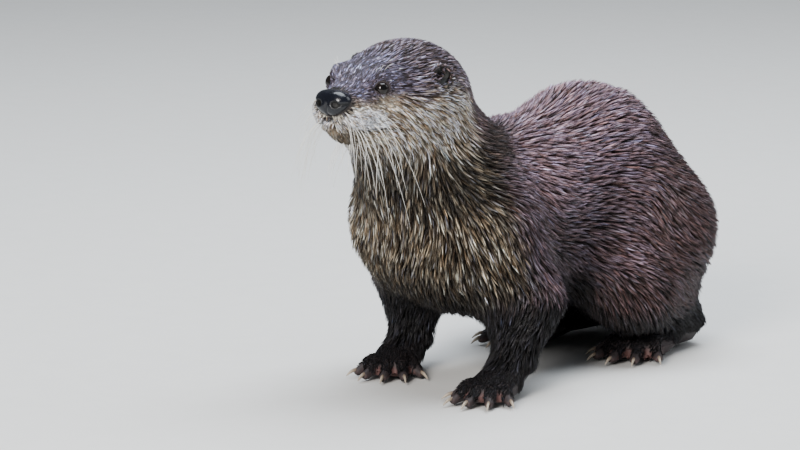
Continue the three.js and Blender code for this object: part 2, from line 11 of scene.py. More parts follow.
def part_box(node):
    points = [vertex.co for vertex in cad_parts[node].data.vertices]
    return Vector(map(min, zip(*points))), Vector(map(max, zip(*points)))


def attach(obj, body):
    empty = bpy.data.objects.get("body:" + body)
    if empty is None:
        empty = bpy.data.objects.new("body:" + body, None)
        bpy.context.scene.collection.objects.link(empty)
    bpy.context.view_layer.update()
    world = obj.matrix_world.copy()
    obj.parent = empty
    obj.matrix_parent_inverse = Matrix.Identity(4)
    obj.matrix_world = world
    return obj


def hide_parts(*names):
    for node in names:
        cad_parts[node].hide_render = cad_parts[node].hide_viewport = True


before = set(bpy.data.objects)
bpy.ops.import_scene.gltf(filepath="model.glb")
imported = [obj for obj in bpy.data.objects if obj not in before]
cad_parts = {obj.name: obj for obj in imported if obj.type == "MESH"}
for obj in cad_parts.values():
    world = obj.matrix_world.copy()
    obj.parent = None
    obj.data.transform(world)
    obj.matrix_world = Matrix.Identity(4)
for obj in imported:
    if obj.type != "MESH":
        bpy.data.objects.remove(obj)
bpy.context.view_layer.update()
rng = np.random.default_rng(11)

# Landmarks are in millimetres from the middle of the spine line at floor level:
# x to the animal's left, y back, z up.
SPINE = np.array([98.9, -52.5, 0.0])
SIDES = {"left": 1, "right": -1}
FORE = {
    "left": dict(
        shoulder=(46, -84, 124), elbow=(62, -60, 74), wrist=(64, -78, 28), paw=(64, -98, 9), heading=12
    ),
    "right": dict(
        shoulder=(-46, -78, 124), elbow=(-60, -44, 76), wrist=(-58, -50, 28), paw=(-57, -68, 9), heading=22
    ),
}
HIND = {
    "left": dict(heel=(47, 164, 22), paw=(50, 118, 10), heading=8),
    "right": dict(heel=(-50, 158, 22), paw=(-54, 112, 10), heading=-6),
}
TAIL = np.array(
    [(-6, 166, 62), (-30, 202, 43), (-72, 250, 28), (-134, 292, 20), (-212, 318, 13), (-292, 326, 6)], float
)
HEAD_CENTRE = np.array([3.0, -132.0, 233.0])


def turned(axis, degrees):
    return np.array(Matrix.Rotation(math.radians(degrees), 3, axis))


HEAD_AXES = turned("Z", 3) @ turned("X", -9) @ turned("Y", 2)


def row(points):
    """Spine millimetres to row metres."""
    return (np.asarray(points, float) + SPINE) / 1000


def spine(points):
    """Row metres to spine millimetres."""
    return np.asarray(points, float) * 1000 - SPINE


def on_head(*point):
    """A place in the head's own millimetres, -y to the nose, in spine millimetres."""
    return HEAD_CENTRE + HEAD_AXES @ np.array(point, float)


def to_head(points):
    return (points - HEAD_CENTRE) @ HEAD_AXES


# ---- camera
ELEVATION, AZIMUTH, DISTANCE = math.radians(12), math.radians(38), 3.1
SENSOR, WIDTH, FOCAL = 36, 800, 4123  # the picture is WIDTH steps across, and FOCAL is in the same steps
AIM = (62, -112, 0)  # on the floor between the feet
ASIDE, ABOVE = -83, 177  # of the middle of the picture from that place, in the same steps
outward = math.sin(AZIMUTH) * math.cos(ELEVATION), -math.cos(AZIMUTH) * math.cos(ELEVATION)
back = Vector((*outward, math.sin(ELEVATION)))
right = Vector((math.cos(AZIMUTH), math.sin(AZIMUTH), 0))
up = back.cross(right)
bpy.ops.object.camera_add(location=Vector(row(AIM)) + back * DISTANCE)
camera = bpy.context.object
gaze = (-back * FOCAL + right * ASIDE + up * ABOVE).normalized()
camera.rotation_euler = gaze.to_track_quat("-Z", "Y").to_euler()
camera.data.lens = SENSOR * FOCAL / WIDTH
camera.data.clip_end = 60
bpy.context.scene.camera = camera


# ---- measures over points
def ramp(value, low, high):
    """0 at low to 1 at high, eased; low may be the larger."""
    t = np.clip((value - low) / (high - low), 0, 1)
    return t * t * (3 - 2 * t)


def bone_distance(points, a, b):
    a, b = np.array(a, float), np.array(b, float)
    along = b - a
    t = np.clip((points - a) @ along / (along @ along), 0, 1)
    return np.linalg.norm(points - a - t[:, None] * along, axis=1)


def mix(a, b, share):
    """From a at share 0 to b at 1; a and b may be numbers, or rows of three with one share a row."""
    share = np.asarray(share)
    if share.ndim == 1 and (3,) in (np.shape(a)[-1:], np.shape(b)[-1:]):
        share = share[:, None]
    return a * (1 - share) + b * share


def unit_rows(vectors):
    return vectors / np.maximum(np.linalg.norm(vectors, axis=1), 1e-9)[:, None]


class Regions:
    """How far each point belongs to each part of the animal, from 0 to 1."""

    def __init__(self, points):
        h = to_head(points)
        self.points, self.h = points, h
        self.head = ramp(np.linalg.norm((h - (0, -18, -4)) / (1, 1.45, 1), axis=1), 62, 48)
        self.muzzle = ramp(h[:, 1], -38, -62) * self.head
        self.nose = ramp(np.linalg.norm(h - (0, -84, -12), axis=1), 20, 13)
        self.foot = np.zeros(len(points))
        self.leg = np.zeros(len(points))
        for name in SIDES:
            fore, hind = FORE[name], HIND[name]
            bones = (fore, "elbow", "wrist", 34), (fore, "wrist", "paw", 30), (hind, "heel", "paw", 34)
            for limb, a, b, reach in bones:
                away = bone_distance(points, limb[a], limb[b])
                self.leg = np.maximum(self.leg, ramp(away, reach + 8, reach - 4))
            for limb, reach, top in ((fore, 52, 24), (hind, 66, 22)):
                away = np.hypot(points[:, 0] - limb["paw"][0], points[:, 1] - limb["paw"][1])
                near = ramp(away, reach + 8, reach)
                self.foot = np.maximum(self.foot, near * ramp(points[:, 2], top + 8, top - 4))
        self.leg = np.maximum(self.leg * ramp(points[:, 2], 92, 66), self.foot)
        far = np.min([bone_distance(points, TAIL[i], TAIL[i + 1]) for i in range(5)], axis=0)
        self.tail = ramp(far, 52, 40) * ramp(points[:, 1] - 0.3 * points[:, 0], 196, 216)
        self.neck = ramp(points[:, 2] - 0.45 * points[:, 1], 196, 222) * (1 - self.head)


def layered(value, *layers):
    """A value with others laid over it in turn, each by its share."""
    for other, share in layers:
        value = mix(value, other, share)
    return value


def coat_depth(r):
    """Depth of the coat over the skin, in millimetres."""
    bare = np.maximum(r.foot, r.nose)
    body = 6.0 - 1.2 * r.neck
    return layered(body, (5.0, r.tail), (3.0, r.leg), (2.6, r.head), (1.1, r.muzzle), (0.5, bare))


# ---- feet
# For each toe its turn in degrees and its share of the foot's length.
TOES = [(-62, 0.74), (-30, 0.95), (-4, 1.0), (22, 0.96), (52, 0.80)]
FOREFOOT = dict(length=42, arch=10.5, toe=5.4, spread=0.84)
HINDFOOT = dict(length=56, arch=11.0, toe=5.6, spread=0.72)


def toe_lines():
    """For each toe its joints from the root to the tip, its way forward, and its foot's measures."""
    lines = []
    for name, side in SIDES.items():
        for leg, foot in ((FORE[name], FOREFOOT), (HIND[name], HINDFOOT)):
            for turn, share in TOES:
                angle = math.radians(leg["heading"] + side * turn * foot["spread"])
                way = np.array((math.sin(angle), -math.cos(angle), 0))
                middle = np.array(leg["paw"], float) * (1, 1, 0)
                arch, toe = foot["arch"], foot["toe"]
                joints = [
                    (0.16, arch - 1), (0.48 * share, arch + 0.6), (0.68 * share, arch - 0.8),
                    (0.88 * share, toe + 1.6), (share, toe - 0.3),
                ]
                points = [middle + way * foot["length"] * s + (0, 0, z) for s, z in joints]
                lines.append((points, way, toe))
    return lines


TOE_LINES = toe_lines()
TOE_SWELL = [0.80, 0.98, 0.86, 0.80, 0.90]


def read(items, what, width=3, kind=float):
    """One property of many items of a mesh, a row for each item."""
    values = np.empty(len(items) * width, dtype=kind)
    items.foreach_get(what, values)
    return values.reshape(-1, width)


def write(items, what, values, kind=np.float32):
    items.foreach_set(what, np.ascontiguousarray(values, dtype=kind).ravel())


def new_mesh(name, points, faces):
    """A mesh from arrays: points in row metres and the corner numbers of each face."""
    mesh = bpy.data.meshes.new(name)
    mesh.vertices.add(len(points))
    write(mesh.vertices, "co", points)
    mesh.loops.add(faces.size)
    write(mesh.loops, "vertex_index", faces, np.int32)
    mesh.polygons.add(len(faces))
    write(mesh.polygons, "loop_start", np.arange(0, faces.size, faces.shape[1]), np.int32)
    write(mesh.polygons, "use_smooth", np.full(len(faces), True), bool)
    mesh.update(calc_edges=True)
    obj = bpy.data.objects.new(name, mesh)
    bpy.context.collection.objects.link(obj)
    return obj


def tube(path, radii, sides):
    """Corners and triangles of a closed round tube along a path."""
    path, radii = np.array(path), np.array(radii)
    along = unit_rows(np.gradient(path, axis=0))
    first = unit_rows(np.cross(along, (0.31, 0.17, 0.93)))
    second = np.cross(along, first)
    angle = np.arange(sides) * 2 * math.pi / sides
    cos, sin = np.cos(angle)[:, None], np.sin(angle)[:, None]
    ring = cos * first[:, None] + sin * second[:, None]
    corners = (path[:, None] + ring * radii[:, None, None]).reshape(-1, 3)
    k = np.arange(sides)
    start = (np.arange(len(path) - 1) * sides)[:, None]
    a, b = start + k, start + (k + 1) % sides
    halves = np.stack([a, b, b + sides], 2), np.stack([a, b + sides, a + sides], 2)
    faces = np.concatenate(halves).reshape(-1, 3)
    ends = []
    for ring_start, end, flip in ((0, path[0], True), (len(corners) - sides, path[-1], False)):
        corners = np.concatenate([corners, end[None]])
        middle = np.full(sides, len(corners) - 1)
        fan = np.stack([ring_start + k, ring_start + (k + 1) % sides, middle], 1)
        ends.append(fan[:, ::-1] if flip else fan)
    return corners, np.concatenate([faces, *ends])


def joined(name, shapes):
    """One mesh of many (corners, triangles) pairs in spine millimetres."""
    offsets = np.cumsum([0] + [len(c) for c, _ in shapes[:-1]])
    points = np.concatenate([c for c, _ in shapes])
    return new_mesh(name, row(points), np.concatenate([f + o for (_, f), o in zip(shapes, offsets)]))


def smooth_path(points, values, steps):
    """A rounded path through points, with the values carried along."""
    t = np.linspace(0, len(points) - 1, steps)
    given = np.column_stack([np.array(points), np.array(values)])
    before, after = 2 * given[:1] - given[1:2], 2 * given[-1:] - given[-2:-1]
    padded = np.concatenate([before, given, after])
    i = np.minimum(t.astype(int), len(points) - 2)
    f = (t - i)[:, None]
    p0, p1, p2, p3 = (padded[i + k] for k in range(4))
    square, cube = 2 * p0 - 5 * p1 + 4 * p2 - p3, 3 * p1 - p0 - 3 * p2 + p3
    out = 0.5 * (2 * p1 + (p2 - p0) * f + square * f ** 2 + cube * f ** 3)
    return out[:, :-1], out[:, -1]


def toe_shapes():
    shapes = []
    for joints, way, size in TOE_LINES:
        ends = [joints[0] - way, *joints, joints[-1] + way * size * 0.8]
        swell = np.array([0.5, *TOE_SWELL, 0.62]) * size
        shapes.append(tube(*smooth_path(ends, swell, 19), 12))
    return shapes


# ---- skin
BARE = ("claw", "eye", "nose")
FLESH = [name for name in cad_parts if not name.startswith(BARE)]
FILLED = FLESH + ["eye_left", "eye_right", "nose"]
CUT_CLOSER = 0.0005  # each part grows by this much, so that the thin cuts between parts close
VOXEL = 0.0016
SMOOTHINGS = 26
SKIN_KEPT = 0.42  # share of the faces left where the coat hides the skin


def only(*objects):
    """Selects these alone, the first one active."""
    bpy.ops.object.select_all(action="DESELECT")
    for o in objects:
        o.select_set(True)
    bpy.context.view_layer.objects.active = objects[0]


def smooth(obj):
    only(obj)
    bpy.ops.object.shade_smooth()
    return obj


def copy_of(name):
    made = bpy.data.objects.new(name + "_copy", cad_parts[name].data.copy())
    bpy.context.collection.objects.link(made)
    return made


def change_all(obj, operator, **settings):
    """Runs an operator of edit mode on the whole of obj."""
    only(obj)
    bpy.ops.object.mode_set(mode="EDIT")
    bpy.ops.mesh.select_all(action="SELECT")
    operator(**settings)
    bpy.ops.object.mode_set(mode="OBJECT")


def merge_loose(obj):
    change_all(obj, bpy.ops.mesh.remove_doubles, threshold=1e-5)


def coordinates(mesh):
    return read(mesh.vertices, "co")


def normals_of(mesh):
    return read(mesh.vertices, "normal")


def set_coordinates(mesh, co):
    write(mesh.vertices, "co", co)
    mesh.update()


def relax(mesh, share, times):
    """Moves each vertex towards the middle of its neighbours, by its own share."""
    a, b = read(mesh.edges, "vertices", 2, np.int64).T
    co = coordinates(mesh)
    count = np.bincount(a, minlength=len(co)) + np.bincount(b, minlength=len(co))
    for _ in range(times):
        total = [np.bincount(a, co[b, k], len(co)) + np.bincount(b, co[a, k], len(co)) for k in range(3)]
        co += (np.stack(total, 1) / np.maximum(count, 1)[:, None] - co) * share[:, None]
    set_coordinates(mesh, co)


def largest_shell(obj):
    """Drops every loose shell but the one with the most vertices."""
    only(obj)
    bpy.ops.mesh.separate(type="LOOSE")
    shells = sorted(bpy.context.selected_objects, key=lambda o: len(o.data.vertices))
    for shell in shells[:-1]:
        bpy.data.objects.remove(shell)
    return shells[-1]


parts = [copy_of(name) for name in FILLED]
for part in parts:
    merge_loose(part)
    set_coordinates(part.data, coordinates(part.data) + normals_of(part.data) * CUT_CLOSER)
toes = joined("toes", toe_shapes())
only(*parts, toes)
bpy.ops.object.join()
skin = bpy.context.object
skin.data.remesh_voxel_size = VOXEL
bpy.ops.object.voxel_remesh()
skin = largest_shell(skin)
skin.name = skin.data.name = "skin"

regions = Regions(spine(coordinates(skin.data)))
relax(skin.data, 0.5 * (1 - 0.75 * regions.head) * (1 - 0.8 * regions.foot), SMOOTHINGS)
regions = Regions(spine(coordinates(skin.data)))
inset = coat_depth(regions)[:, None] / 1000 + CUT_CLOSER
set_coordinates(skin.data, coordinates(skin.data) - normals_of(skin.data) * inset)

# The hidden part of the skin is thinned; face and feet keep every vertex.
regions = Regions(spine(coordinates(skin.data)))
hidden = np.clip(1 - 2.2 * np.maximum(regions.head, regions.foot), 0, 1)
group = skin.vertex_groups.new(name="under_coat")
for step in range(11):
    chosen = np.nonzero(np.round(hidden * 10) == step)[0]
    group.add(chosen.tolist(), step / 10, "REPLACE")
thinner = skin.modifiers.new("thin", "DECIMATE")
thinner.ratio = SKIN_KEPT
thinner.vertex_group = "under_coat"
only(skin)
bpy.ops.object.modifier_apply(modifier="thin")
skin.vertex_groups.clear()


# ---- face
def middle_of(name):
    low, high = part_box(name)
    return spine(np.array((low + high) / 2))


EYES = {name: middle_of("eye_" + name) for name in SIDES}
EYE_RADIUS = float((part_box("eye_left")[1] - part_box("eye_left")[0])[0]) * 500
EYE_WIDE, EYE_HIGH = 56, 42  # half angles of the opening between the lids, in degrees
NOSE_MIDDLE = np.array((0, -85.8, -13))
NOSE_SIZE = np.array((15.2, 10.5, 10.2))
EAR_HOLLOW = np.array((45.2, -14.5, 16))
FURROW = ((0, -66, -5), (0, -54, -21))
MOUTH = [(0, -88, -27), (8, -87, -28.5), (15, -80.5, -31), (20, -69, -32), (24, -57, -30.5), (27, -45, -27)]


def eye_axes(side):
    """Columns: towards the nose, up the face, and out of the eye."""
    out = np.array((side * 0.80, -0.56, 0.20))
    out /= np.linalg.norm(out)
    up_face = np.array((0, 0.1, 1.0))
    up_face -= out * (up_face @ out)
    up_face /= np.linalg.norm(up_face)
    forward = np.cross(up_face, out)
    forward *= -np.sign(forward[1])
    return HEAD_AXES @ np.stack([forward, up_face, out], 1)


def eye_view(points, side_name):
    """Distance of each point from the eye's middle, the way to it, and how open the eye is there.

    The last is the turn from the gaze as a share of that to the lids' edge.
    """
    local = (points - EYES[side_name]) @ eye_axes(SIDES[side_name])
    reach = np.linalg.norm(local, axis=1)
    unit = local / np.maximum(reach, 1e-6)[:, None]
    angle = np.degrees(np.arccos(np.clip(unit[:, 2], -1, 1)))
    around = np.arctan2(unit[:, 1], unit[:, 0])
    # The corners are drawn out: the front one slants down to the nose.
    front_corner = 0.22 * np.exp(-((around + 0.25) / 0.35) ** 2)
    back_corner = 0.12 * np.exp(-((np.abs(around) - 3.05) / 0.3) ** 2)
    corner = 1 + front_corner + back_corner
    opening = angle * np.hypot(np.cos(around) / (EYE_WIDE * corner), np.sin(around) / (EYE_HIGH * corner))
    return reach, unit, opening


def line_distance(points, line):
    return np.min([bone_distance(points, a, b) for a, b in zip(line, line[1:])], axis=0)


def surface_of(mesh):
    corners = [Vector(c) for c in coordinates(mesh)]
    return BVHTree.FromPolygons(corners, [tuple(p.vertices) for p in mesh.polygons])


def on_surface(surface, point):
    """The nearest place on a surface, in spine millimetres."""
    return spine(np.array(surface.find_nearest(Vector(row(point)))[0]))


smooth_skin = surface_of(skin.data)
MOUTH_LINES = [
    [on_surface(smooth_skin, on_head(side * x, y, z)) for x, y, z in MOUTH] for side in SIDES.values()
]


def near_mouth(points):
    return np.minimum(*[line_distance(points, line) for line in MOUTH_LINES])


def nearest_eye(points):
    return np.min([np.linalg.norm(points - eye, axis=1) for eye in EYES.values()], axis=0)


def ear_distance(points):
    h = to_head(points)
    gaps = [(h - EAR_HOLLOW * (side, 1, 1)) / (1, 1.05, 1) for side in SIDES.values()]
    return np.min([np.linalg.norm(gap, axis=1) for gap in gaps], axis=0)


def subdivide_near(obj, near):
    """Cuts every face whose middle lies in near(points) in two each way."""
    chosen = near(spine(read(obj.data.polygons, "center")))
    only(obj)
    bpy.ops.object.mode_set(mode="EDIT")
    bpy.context.tool_settings.mesh_select_mode = (False, False, True)
    bpy.ops.mesh.select_all(action="DESELECT")
    bpy.ops.object.mode_set(mode="OBJECT")
    write(obj.data.polygons, "select", chosen, bool)
    bpy.ops.object.mode_set(mode="EDIT")
    bpy.ops.mesh.subdivide(number_cuts=1, smoothness=0, quadcorner="INNERVERT")
    bpy.ops.object.mode_set(mode="OBJECT")


subdivide_near(skin, lambda p: (nearest_eye(p) < 13) | (near_mouth(p) < 4) | (ear_distance(p) < 12))
subdivide_near(skin, lambda p: nearest_eye(p) < 9.5)


def shape_lids(points, side_name):
    reach, unit, opening = eye_view(points, side_name)
    inner = EYE_RADIUS - 1.2
    rim = EYE_RADIUS + 0.45 + 0.35 * ramp(unit[:, 1], -0.1, 0.3)
    outside = np.clip(reach, rim, rim + 0.15 + 6 * ramp(opening, 1.0, 2.0))
    lid = mix(inner, outside, ramp(opening, 0.94, 1.04))
    hold = ramp(opening, 3.0, 1.8) * (reach < 14)
    return points + (unit @ eye_axes(SIDES[side_name]).T) * ((lid - reach) * hold)[:, None]


def shape_face(mesh):
    points = spine(coordinates(mesh))
    out = normals_of(mesh)
    h = to_head(points)
    gap = near_mouth(points)
    on_face = ramp(h[:, 1], -34, -46)
    lips = 0.9 * np.exp(-(((gap - 3.4) / 1.6) ** 2)) - 2.6 * np.exp(-((gap / 1.1) ** 2))
    points = points + out * (lips * on_face)[:, None]
    crease = np.hypot(h[:, 0], np.maximum(h[:, 2] + 20, 0) + np.maximum(-27 - h[:, 2], 0))
    points = points - out * (1.8 * np.exp(-((crease / 1.2) ** 2)) * ramp(h[:, 1], -70, -80))[:, None]
    # The ear: a cup with a raised edge, higher behind.
    ear = ear_distance(points)
    behind = 0.6 + 0.9 * ramp(h[:, 1] + 0.6 * (13 - h[:, 2]), -18, -6)
    edge = 1.9 * behind * np.exp(-(((ear - 9.5) / 2.0) ** 2))
    points = points + out * (edge - 7.0 * ramp(ear, 8.6, 3.5))[:, None]
    for name in SIDES:
        points = shape_lids(points, name)
    set_coordinates(mesh, row(points))


def shape_feet(mesh):
    """Sinks the webs between the toes, and sets the soles level with the floor."""
    points = spine(coordinates(mesh))
    out = normals_of(mesh)
    foot = Regions(points).foot
    flat = points * (1, 1, 0)
    toes = [[joint * (1, 1, 0) for joint in joints[1:]] for joints, _, _ in TOE_LINES]
    from_toes = np.min([line_distance(flat, toe) for toe in toes], axis=0)
    web = ramp(from_toes, 2.6, 5.0) * ramp(out[:, 2], 0.1, 0.6) * foot * ramp(points[:, 2], 17, 12)
    points = points - (0, 0, 2.4) * web[:, None]
    points[:, 2] = np.where(points[:, 2] < 0, 0, points[:, 2])
    set_coordinates(mesh, row(points))


shape_face(skin.data)
shape_feet(skin.data)
smooth(skin)

# ---- the lie of the coat
GUIDES = []


def guide(place, way):
    GUIDES.append((np.array(place, float), np.array(way, float)))


def guide_both(rows, place, turn):
    """Guides on both sides from rows of a place and a way, three numbers each."""
    for x, y, z, dx, dy, dz in rows:
        for side in SIDES.values():
            guide(place(side * x, y, z), turn @ np.array((side * dx, dy, dz), float))


HEAD_GUIDES = [
    (0, -75, 2, 0, 1, 0.5), (0, -60, 12, 0.1, 1, 0.5), (8, -40, 24, 0.15, 1, 0.3),
    (10, -10, 38, 0.1, 1, 0.05), (10, 25, 36, 0, 1, -0.5), (10, 48, 15, 0, 0.6, -0.8),
    (26, -45, 12, 0.35, 0.9, 0.25), (24, -60, 8, 0.3, 0.8, 0.35), (36, -30, 12, 0.2, 1, 0),
    (42, -5, 12, 0, 1, -0.2), (42, 20, 0, 0, 0.8, -0.6), (25, -62, -8, 0.4, 0.9, -0.15),
    (16, -76, -18, 0.7, 0.7, -0.2), (26, -58, -18, 0.3, 0.9, -0.35), (34, -40, -16, 0.25, 0.9, -0.4),
    (44, -20, -20, 0.1, 0.9, -0.5), (44, 5, -25, 0, 0.75, -0.7),
    (30, -30, -40, 0.1, 0.7, -0.7), (10, -60, -44, 0, 0.8, -0.5), (12, -84, -30, 0.4, 0.5, -0.7),
    (8, -30, -50, 0, 0.5, -0.85), (10, -72, -42, 0.1, 0.7, -0.6),
]
BODY_GUIDES = [
    (10, -66, 215, 0, 0.45, -0.9), (44, -90, 200, 0, 0.75, -0.65), (48, -112, 190, 0, 0.55, -0.85),
    (30, -160, 190, 0.05, 0.15, -1), (6, -178, 180, 0, 0.1, -1), (50, -84, 175, 0, 0.8, -0.6),
    (30, -40, 190, 0, 0.95, -0.3), (10, -140, 140, 0, 0.1, -1), (40, -125, 140, 0.15, 0.2, -1),
    (20, -118, 95, 0, 0.4, -0.9), (58, -104, 130, 0.1, 0.35, -0.95), (70, -84, 115, 0, 0.45, -0.9),
    (66, -45, 140, 0, 0.85, -0.5), (10, -20, 190, 0, 1, 0.05), (50, 0, 170, 0, 1, -0.15),
    (64, 0, 120, 0, 0.95, -0.35), (56, -5, 75, 0, 0.85, -0.5), (10, 30, 205, 0, 1, 0.15),
    (10, 85, 220, 0, 1, -0.05), (55, 70, 180, 0, 0.97, -0.2), (66, 50, 130, 0, 0.95, -0.35),
    (60, 35, 85, 0, 0.85, -0.5), (15, 10, 48, 0, 1, 0), (15, -60, 66, 0, 0.9, -0.2),
    (10, 145, 195, 0, 0.7, -0.7), (55, 140, 170, 0, 0.7, -0.7), (10, 195, 110, 0, 0.25, -1),
    (50, 180, 110, 0.1, 0.3, -1), (72, 120, 120, 0, 0.5, -0.85), (72, 90, 90, 0, 0.65, -0.75),
    (66, 110, 50, 0, 0.85, -0.5), (56, 165, 45, 0, 0.5, -0.85), (50, 60, 50, 0, 0.8, -0.5),
    (20, 100, 40, 0, 1, 0), (30, 196, 70, 0, 0.4, -0.9),
]
guide_both(HEAD_GUIDES, on_head, HEAD_AXES)
guide_both(BODY_GUIDES, lambda *place: place, np.eye(3))
for name, side in SIDES.items():
    fore, hind = FORE[name], HIND[name]
    for a, b in (("elbow", "wrist"), ("wrist", "paw")):
        start, end = np.array(fore[a], float), np.array(fore[b], float)
        for share in (0.15, 0.6):
            for aside in (14, -14):
                guide(start + (end - start) * share + (side * aside, 0, 0), end - start + (0, 0, -14))
    for leg, reach, dip in ((fore, 18, -0.2), (hind, 20, 0)):
        heading = math.radians(leg["heading"])
        toes = np.array((math.sin(heading), -math.cos(heading), 0))
        guide(np.array(leg["paw"]) + toes * reach + (0, 0, 10), toes + (0, 0, dip))
    guide(np.array(hind["heel"]) + (0, 12, 4), (0, -0.2, -1))
for a, b in zip(TAIL, TAIL[1:]):
    for share in (0.2, 0.7):
        for aside in ((0, 0, 14), (-10, -14, 0), (10, 14, 0)):
            guide(a + (b - a) * share + aside, b - a)
GUIDE_PLACES = np.array([g[0] for g in GUIDES])
GUIDE_WAYS = np.array([g[1] / np.linalg.norm(g[1]) for g in GUIDES])


def lie_of_coat(points, out):
    """The way that the hair runs at each point, along the skin."""
    way = np.zeros_like(points)
    at_once = 20000
    for start in range(0, len(points), at_once):
        some = slice(start, start + at_once)
        d2 = ((points[some, None, :] - GUIDE_PLACES[None]) ** 2).sum(2)
        weight = 1 / (d2 + 30) ** 2.2
        way[some] = weight @ GUIDE_WAYS / weight.sum(1)[:, None]
    way -= out * (way * out).sum(1)[:, None]
    return unit_rows(way)


# ---- markings, with painted sheen and shade
BACK_BROWN_AND_SHEEN = np.array((0.152, 0.094, 0.097))
FLANK_BROWN = np.array((0.050, 0.032, 0.032))
UNDERSIDE_SHADE = np.array((0.010, 0.008, 0.007))
RUMP_RED = np.array((0.043, 0.024, 0.021))
LEG_BROWN_AND_SHADE = np.array((0.0070, 0.0058, 0.0058))
THROAT_CREAM = np.array((0.215, 0.165, 0.100))
NAPE_BROWN = np.array((0.026, 0.016, 0.012))
CHEEK_CREAM = np.array((0.52, 0.435, 0.305))
PAD_WHITE = np.array((0.90, 0.90, 0.84))
CROWN_BROWN = np.array((0.104, 0.070, 0.062))
BROW_SKY_SHEEN = np.array((0.112, 0.094, 0.120))
SKY_GLINT = np.array((0.195, 0.180, 0.240))
DARK_SKIN_AND_SHADE = np.array((0.020, 0.014, 0.013))


def markings_and_shading(points, out, r):
    """The coat's colour at each point, with its painted sheen and shade, how unlike its hairs are, and how
    far the point is on the crown.
    """
    h, y, z = r.h, points[:, 1], points[:, 2]
    hy, hz = h[:, 1], h[:, 2]
    colour = layered(
        FLANK_BROWN,
        # Faces that look up are painted lighter: the back's own brown with a painted sheen of the sky on it.
        (BACK_BROWN_AND_SHEEN, ramp(out[:, 2], -0.1, 0.75)),
        (RUMP_RED, 0.95 * ramp(y + 0.6 * (200 - z), 94, 150)),
        # Painted shade under the body, on low faces that look down.
        (UNDERSIDE_SHADE, ramp(out[:, 2], -0.15, -0.7) * ramp(z, 112, 84)),
    )
    for limb in FORE.values():
        arm = ramp(bone_distance(points, limb["shoulder"], limb["elbow"]), 66, 36)
        colour = mix(colour, colour * 0.55, arm)
    front = ramp(y + 0.22 * (z - 150), -84, -108) * ramp(z, 62, 100)
    front = front * (1 - r.head * ramp(hz, -20, 0))
    # The front is paler from chest height up, and darker again up under the chin, where that darkening is
    # painted shade.
    bright = 0.15 + 0.33 * ramp(z, 80, 118) - 0.28 * ramp(z, 135, 165)
    # The legs take their near-black brown, and so does the front below the chest, as painted shade under the
    # chest.
    leg = np.maximum(r.leg, ramp(z, 80, 58) * (y < 0))
    # The brown of the crown comes lower on the muzzle than on the temples.
    level = hz + 7 * ramp(hy, -59, -71)
    crown = r.head * ramp(level - 9 * ramp(hy, -46, -12), -10, 4)
    cheek = r.head * ramp(level - 11 * ramp(hy, -46, -12), 2, -12) * ramp(hy, 35, 12)
    pad = np.linalg.norm((h * (0, 1, 1) - (0, -70, -22.5)) / (1, 1.5, 0.62), axis=1)
    colour = layered(
        colour,
        (NAPE_BROWN, np.maximum(r.neck, r.head * ramp(hy, 20, 44))),
        (THROAT_CREAM * bright[:, None], front),
        (LEG_BROWN_AND_SHADE, leg),
        (CROWN_BROWN, crown),
        # A painted bluish sheen of the sky over the brow.
        (BROW_SKY_SHEEN, crown * ramp(hy, -24, -54)),
        (CHEEK_CREAM, cheek * (0.08 + 0.92 * ramp(hz, -50, -30))),
        (PAD_WHITE, r.head * ramp(pad, 17, 9)),
    )
    furrow = bone_distance(h * (0, 1, 1), *FURROW)
    by_nose = np.linalg.norm((h - NOSE_MIDDLE) / NOSE_SIZE, axis=1)
    colour = layered(
        colour,
        # A painted shade along the furrow between the whisker pad and the cheek.
        (colour * 0.55, r.head * ramp(furrow, 3.2, 1.0)),
        (THROAT_CREAM * 0.5, r.head * ramp(hy, -58, -72) * ramp(hz, -30, -33)),
        (DARK_SKIN_AND_SHADE, ramp(near_mouth(points), 2.2, 1.0) * ramp(hy, -34, -46)),
        (DARK_SKIN_AND_SHADE, ramp(by_nose, 1.11, 1.03)),
        (DARK_SKIN_AND_SHADE * 0.1, ramp(by_nose, 1.0, 0.95)),
        # The hollow of the ear is painted dark: painted shade in the recess.
        (DARK_SKIN_AND_SHADE * 0.3, 0.98 * ramp(ear_distance(points), 8.6, 7.2)),
    )
    brindled = 0.75 * np.maximum(front, cheek * (1 - r.muzzle))
    unlike = 0.50 - 0.25 * r.muzzle + brindled + crown + 0.5 * leg * (1 - r.foot)
    return colour, unlike, crown


# ---- coat
def tuft_spacing(r):
    by_eye = r.head * ramp(nearest_eye(r.points), 13, 9)
    body = layered(2.12 - 0.1 * r.neck, (2.7, r.tail), (1.9, r.leg))
    return layered(body, (1.4, r.head), (1.0, r.muzzle), (0.8, by_eye), (1.45, r.foot))


def tuft_length(r):
    eye, ear = nearest_eye(r.points), ear_distance(r.points)
    body = layered(13.5 - r.neck, (12, r.tail), (11, r.leg))
    head = layered(body, (10.5 - 2.5 * ramp(r.h[:, 2], 0, 20), r.head), (3.8, r.muzzle))
    by_eye = 1.6 + 5 * ramp(eye, 7.0, 13), r.head * ramp(eye, 16, 10)
    return layered(head, by_eye, (3.2, r.head * ramp(ear, 18, 10)), (4.2, r.foot))


def cells(points, size):
    """A number for the cell that holds each point, of about the given size in its neighbourhood."""
    level = np.round(np.log(size) * 4).astype(np.int64)
    cell = np.floor(points / np.exp(level / 4)[:, None]).astype(np.int64) + 1024
    return ((level * 4096 + cell[:, 0]) * 4096 + cell[:, 1]) * 4096 + cell[:, 2]


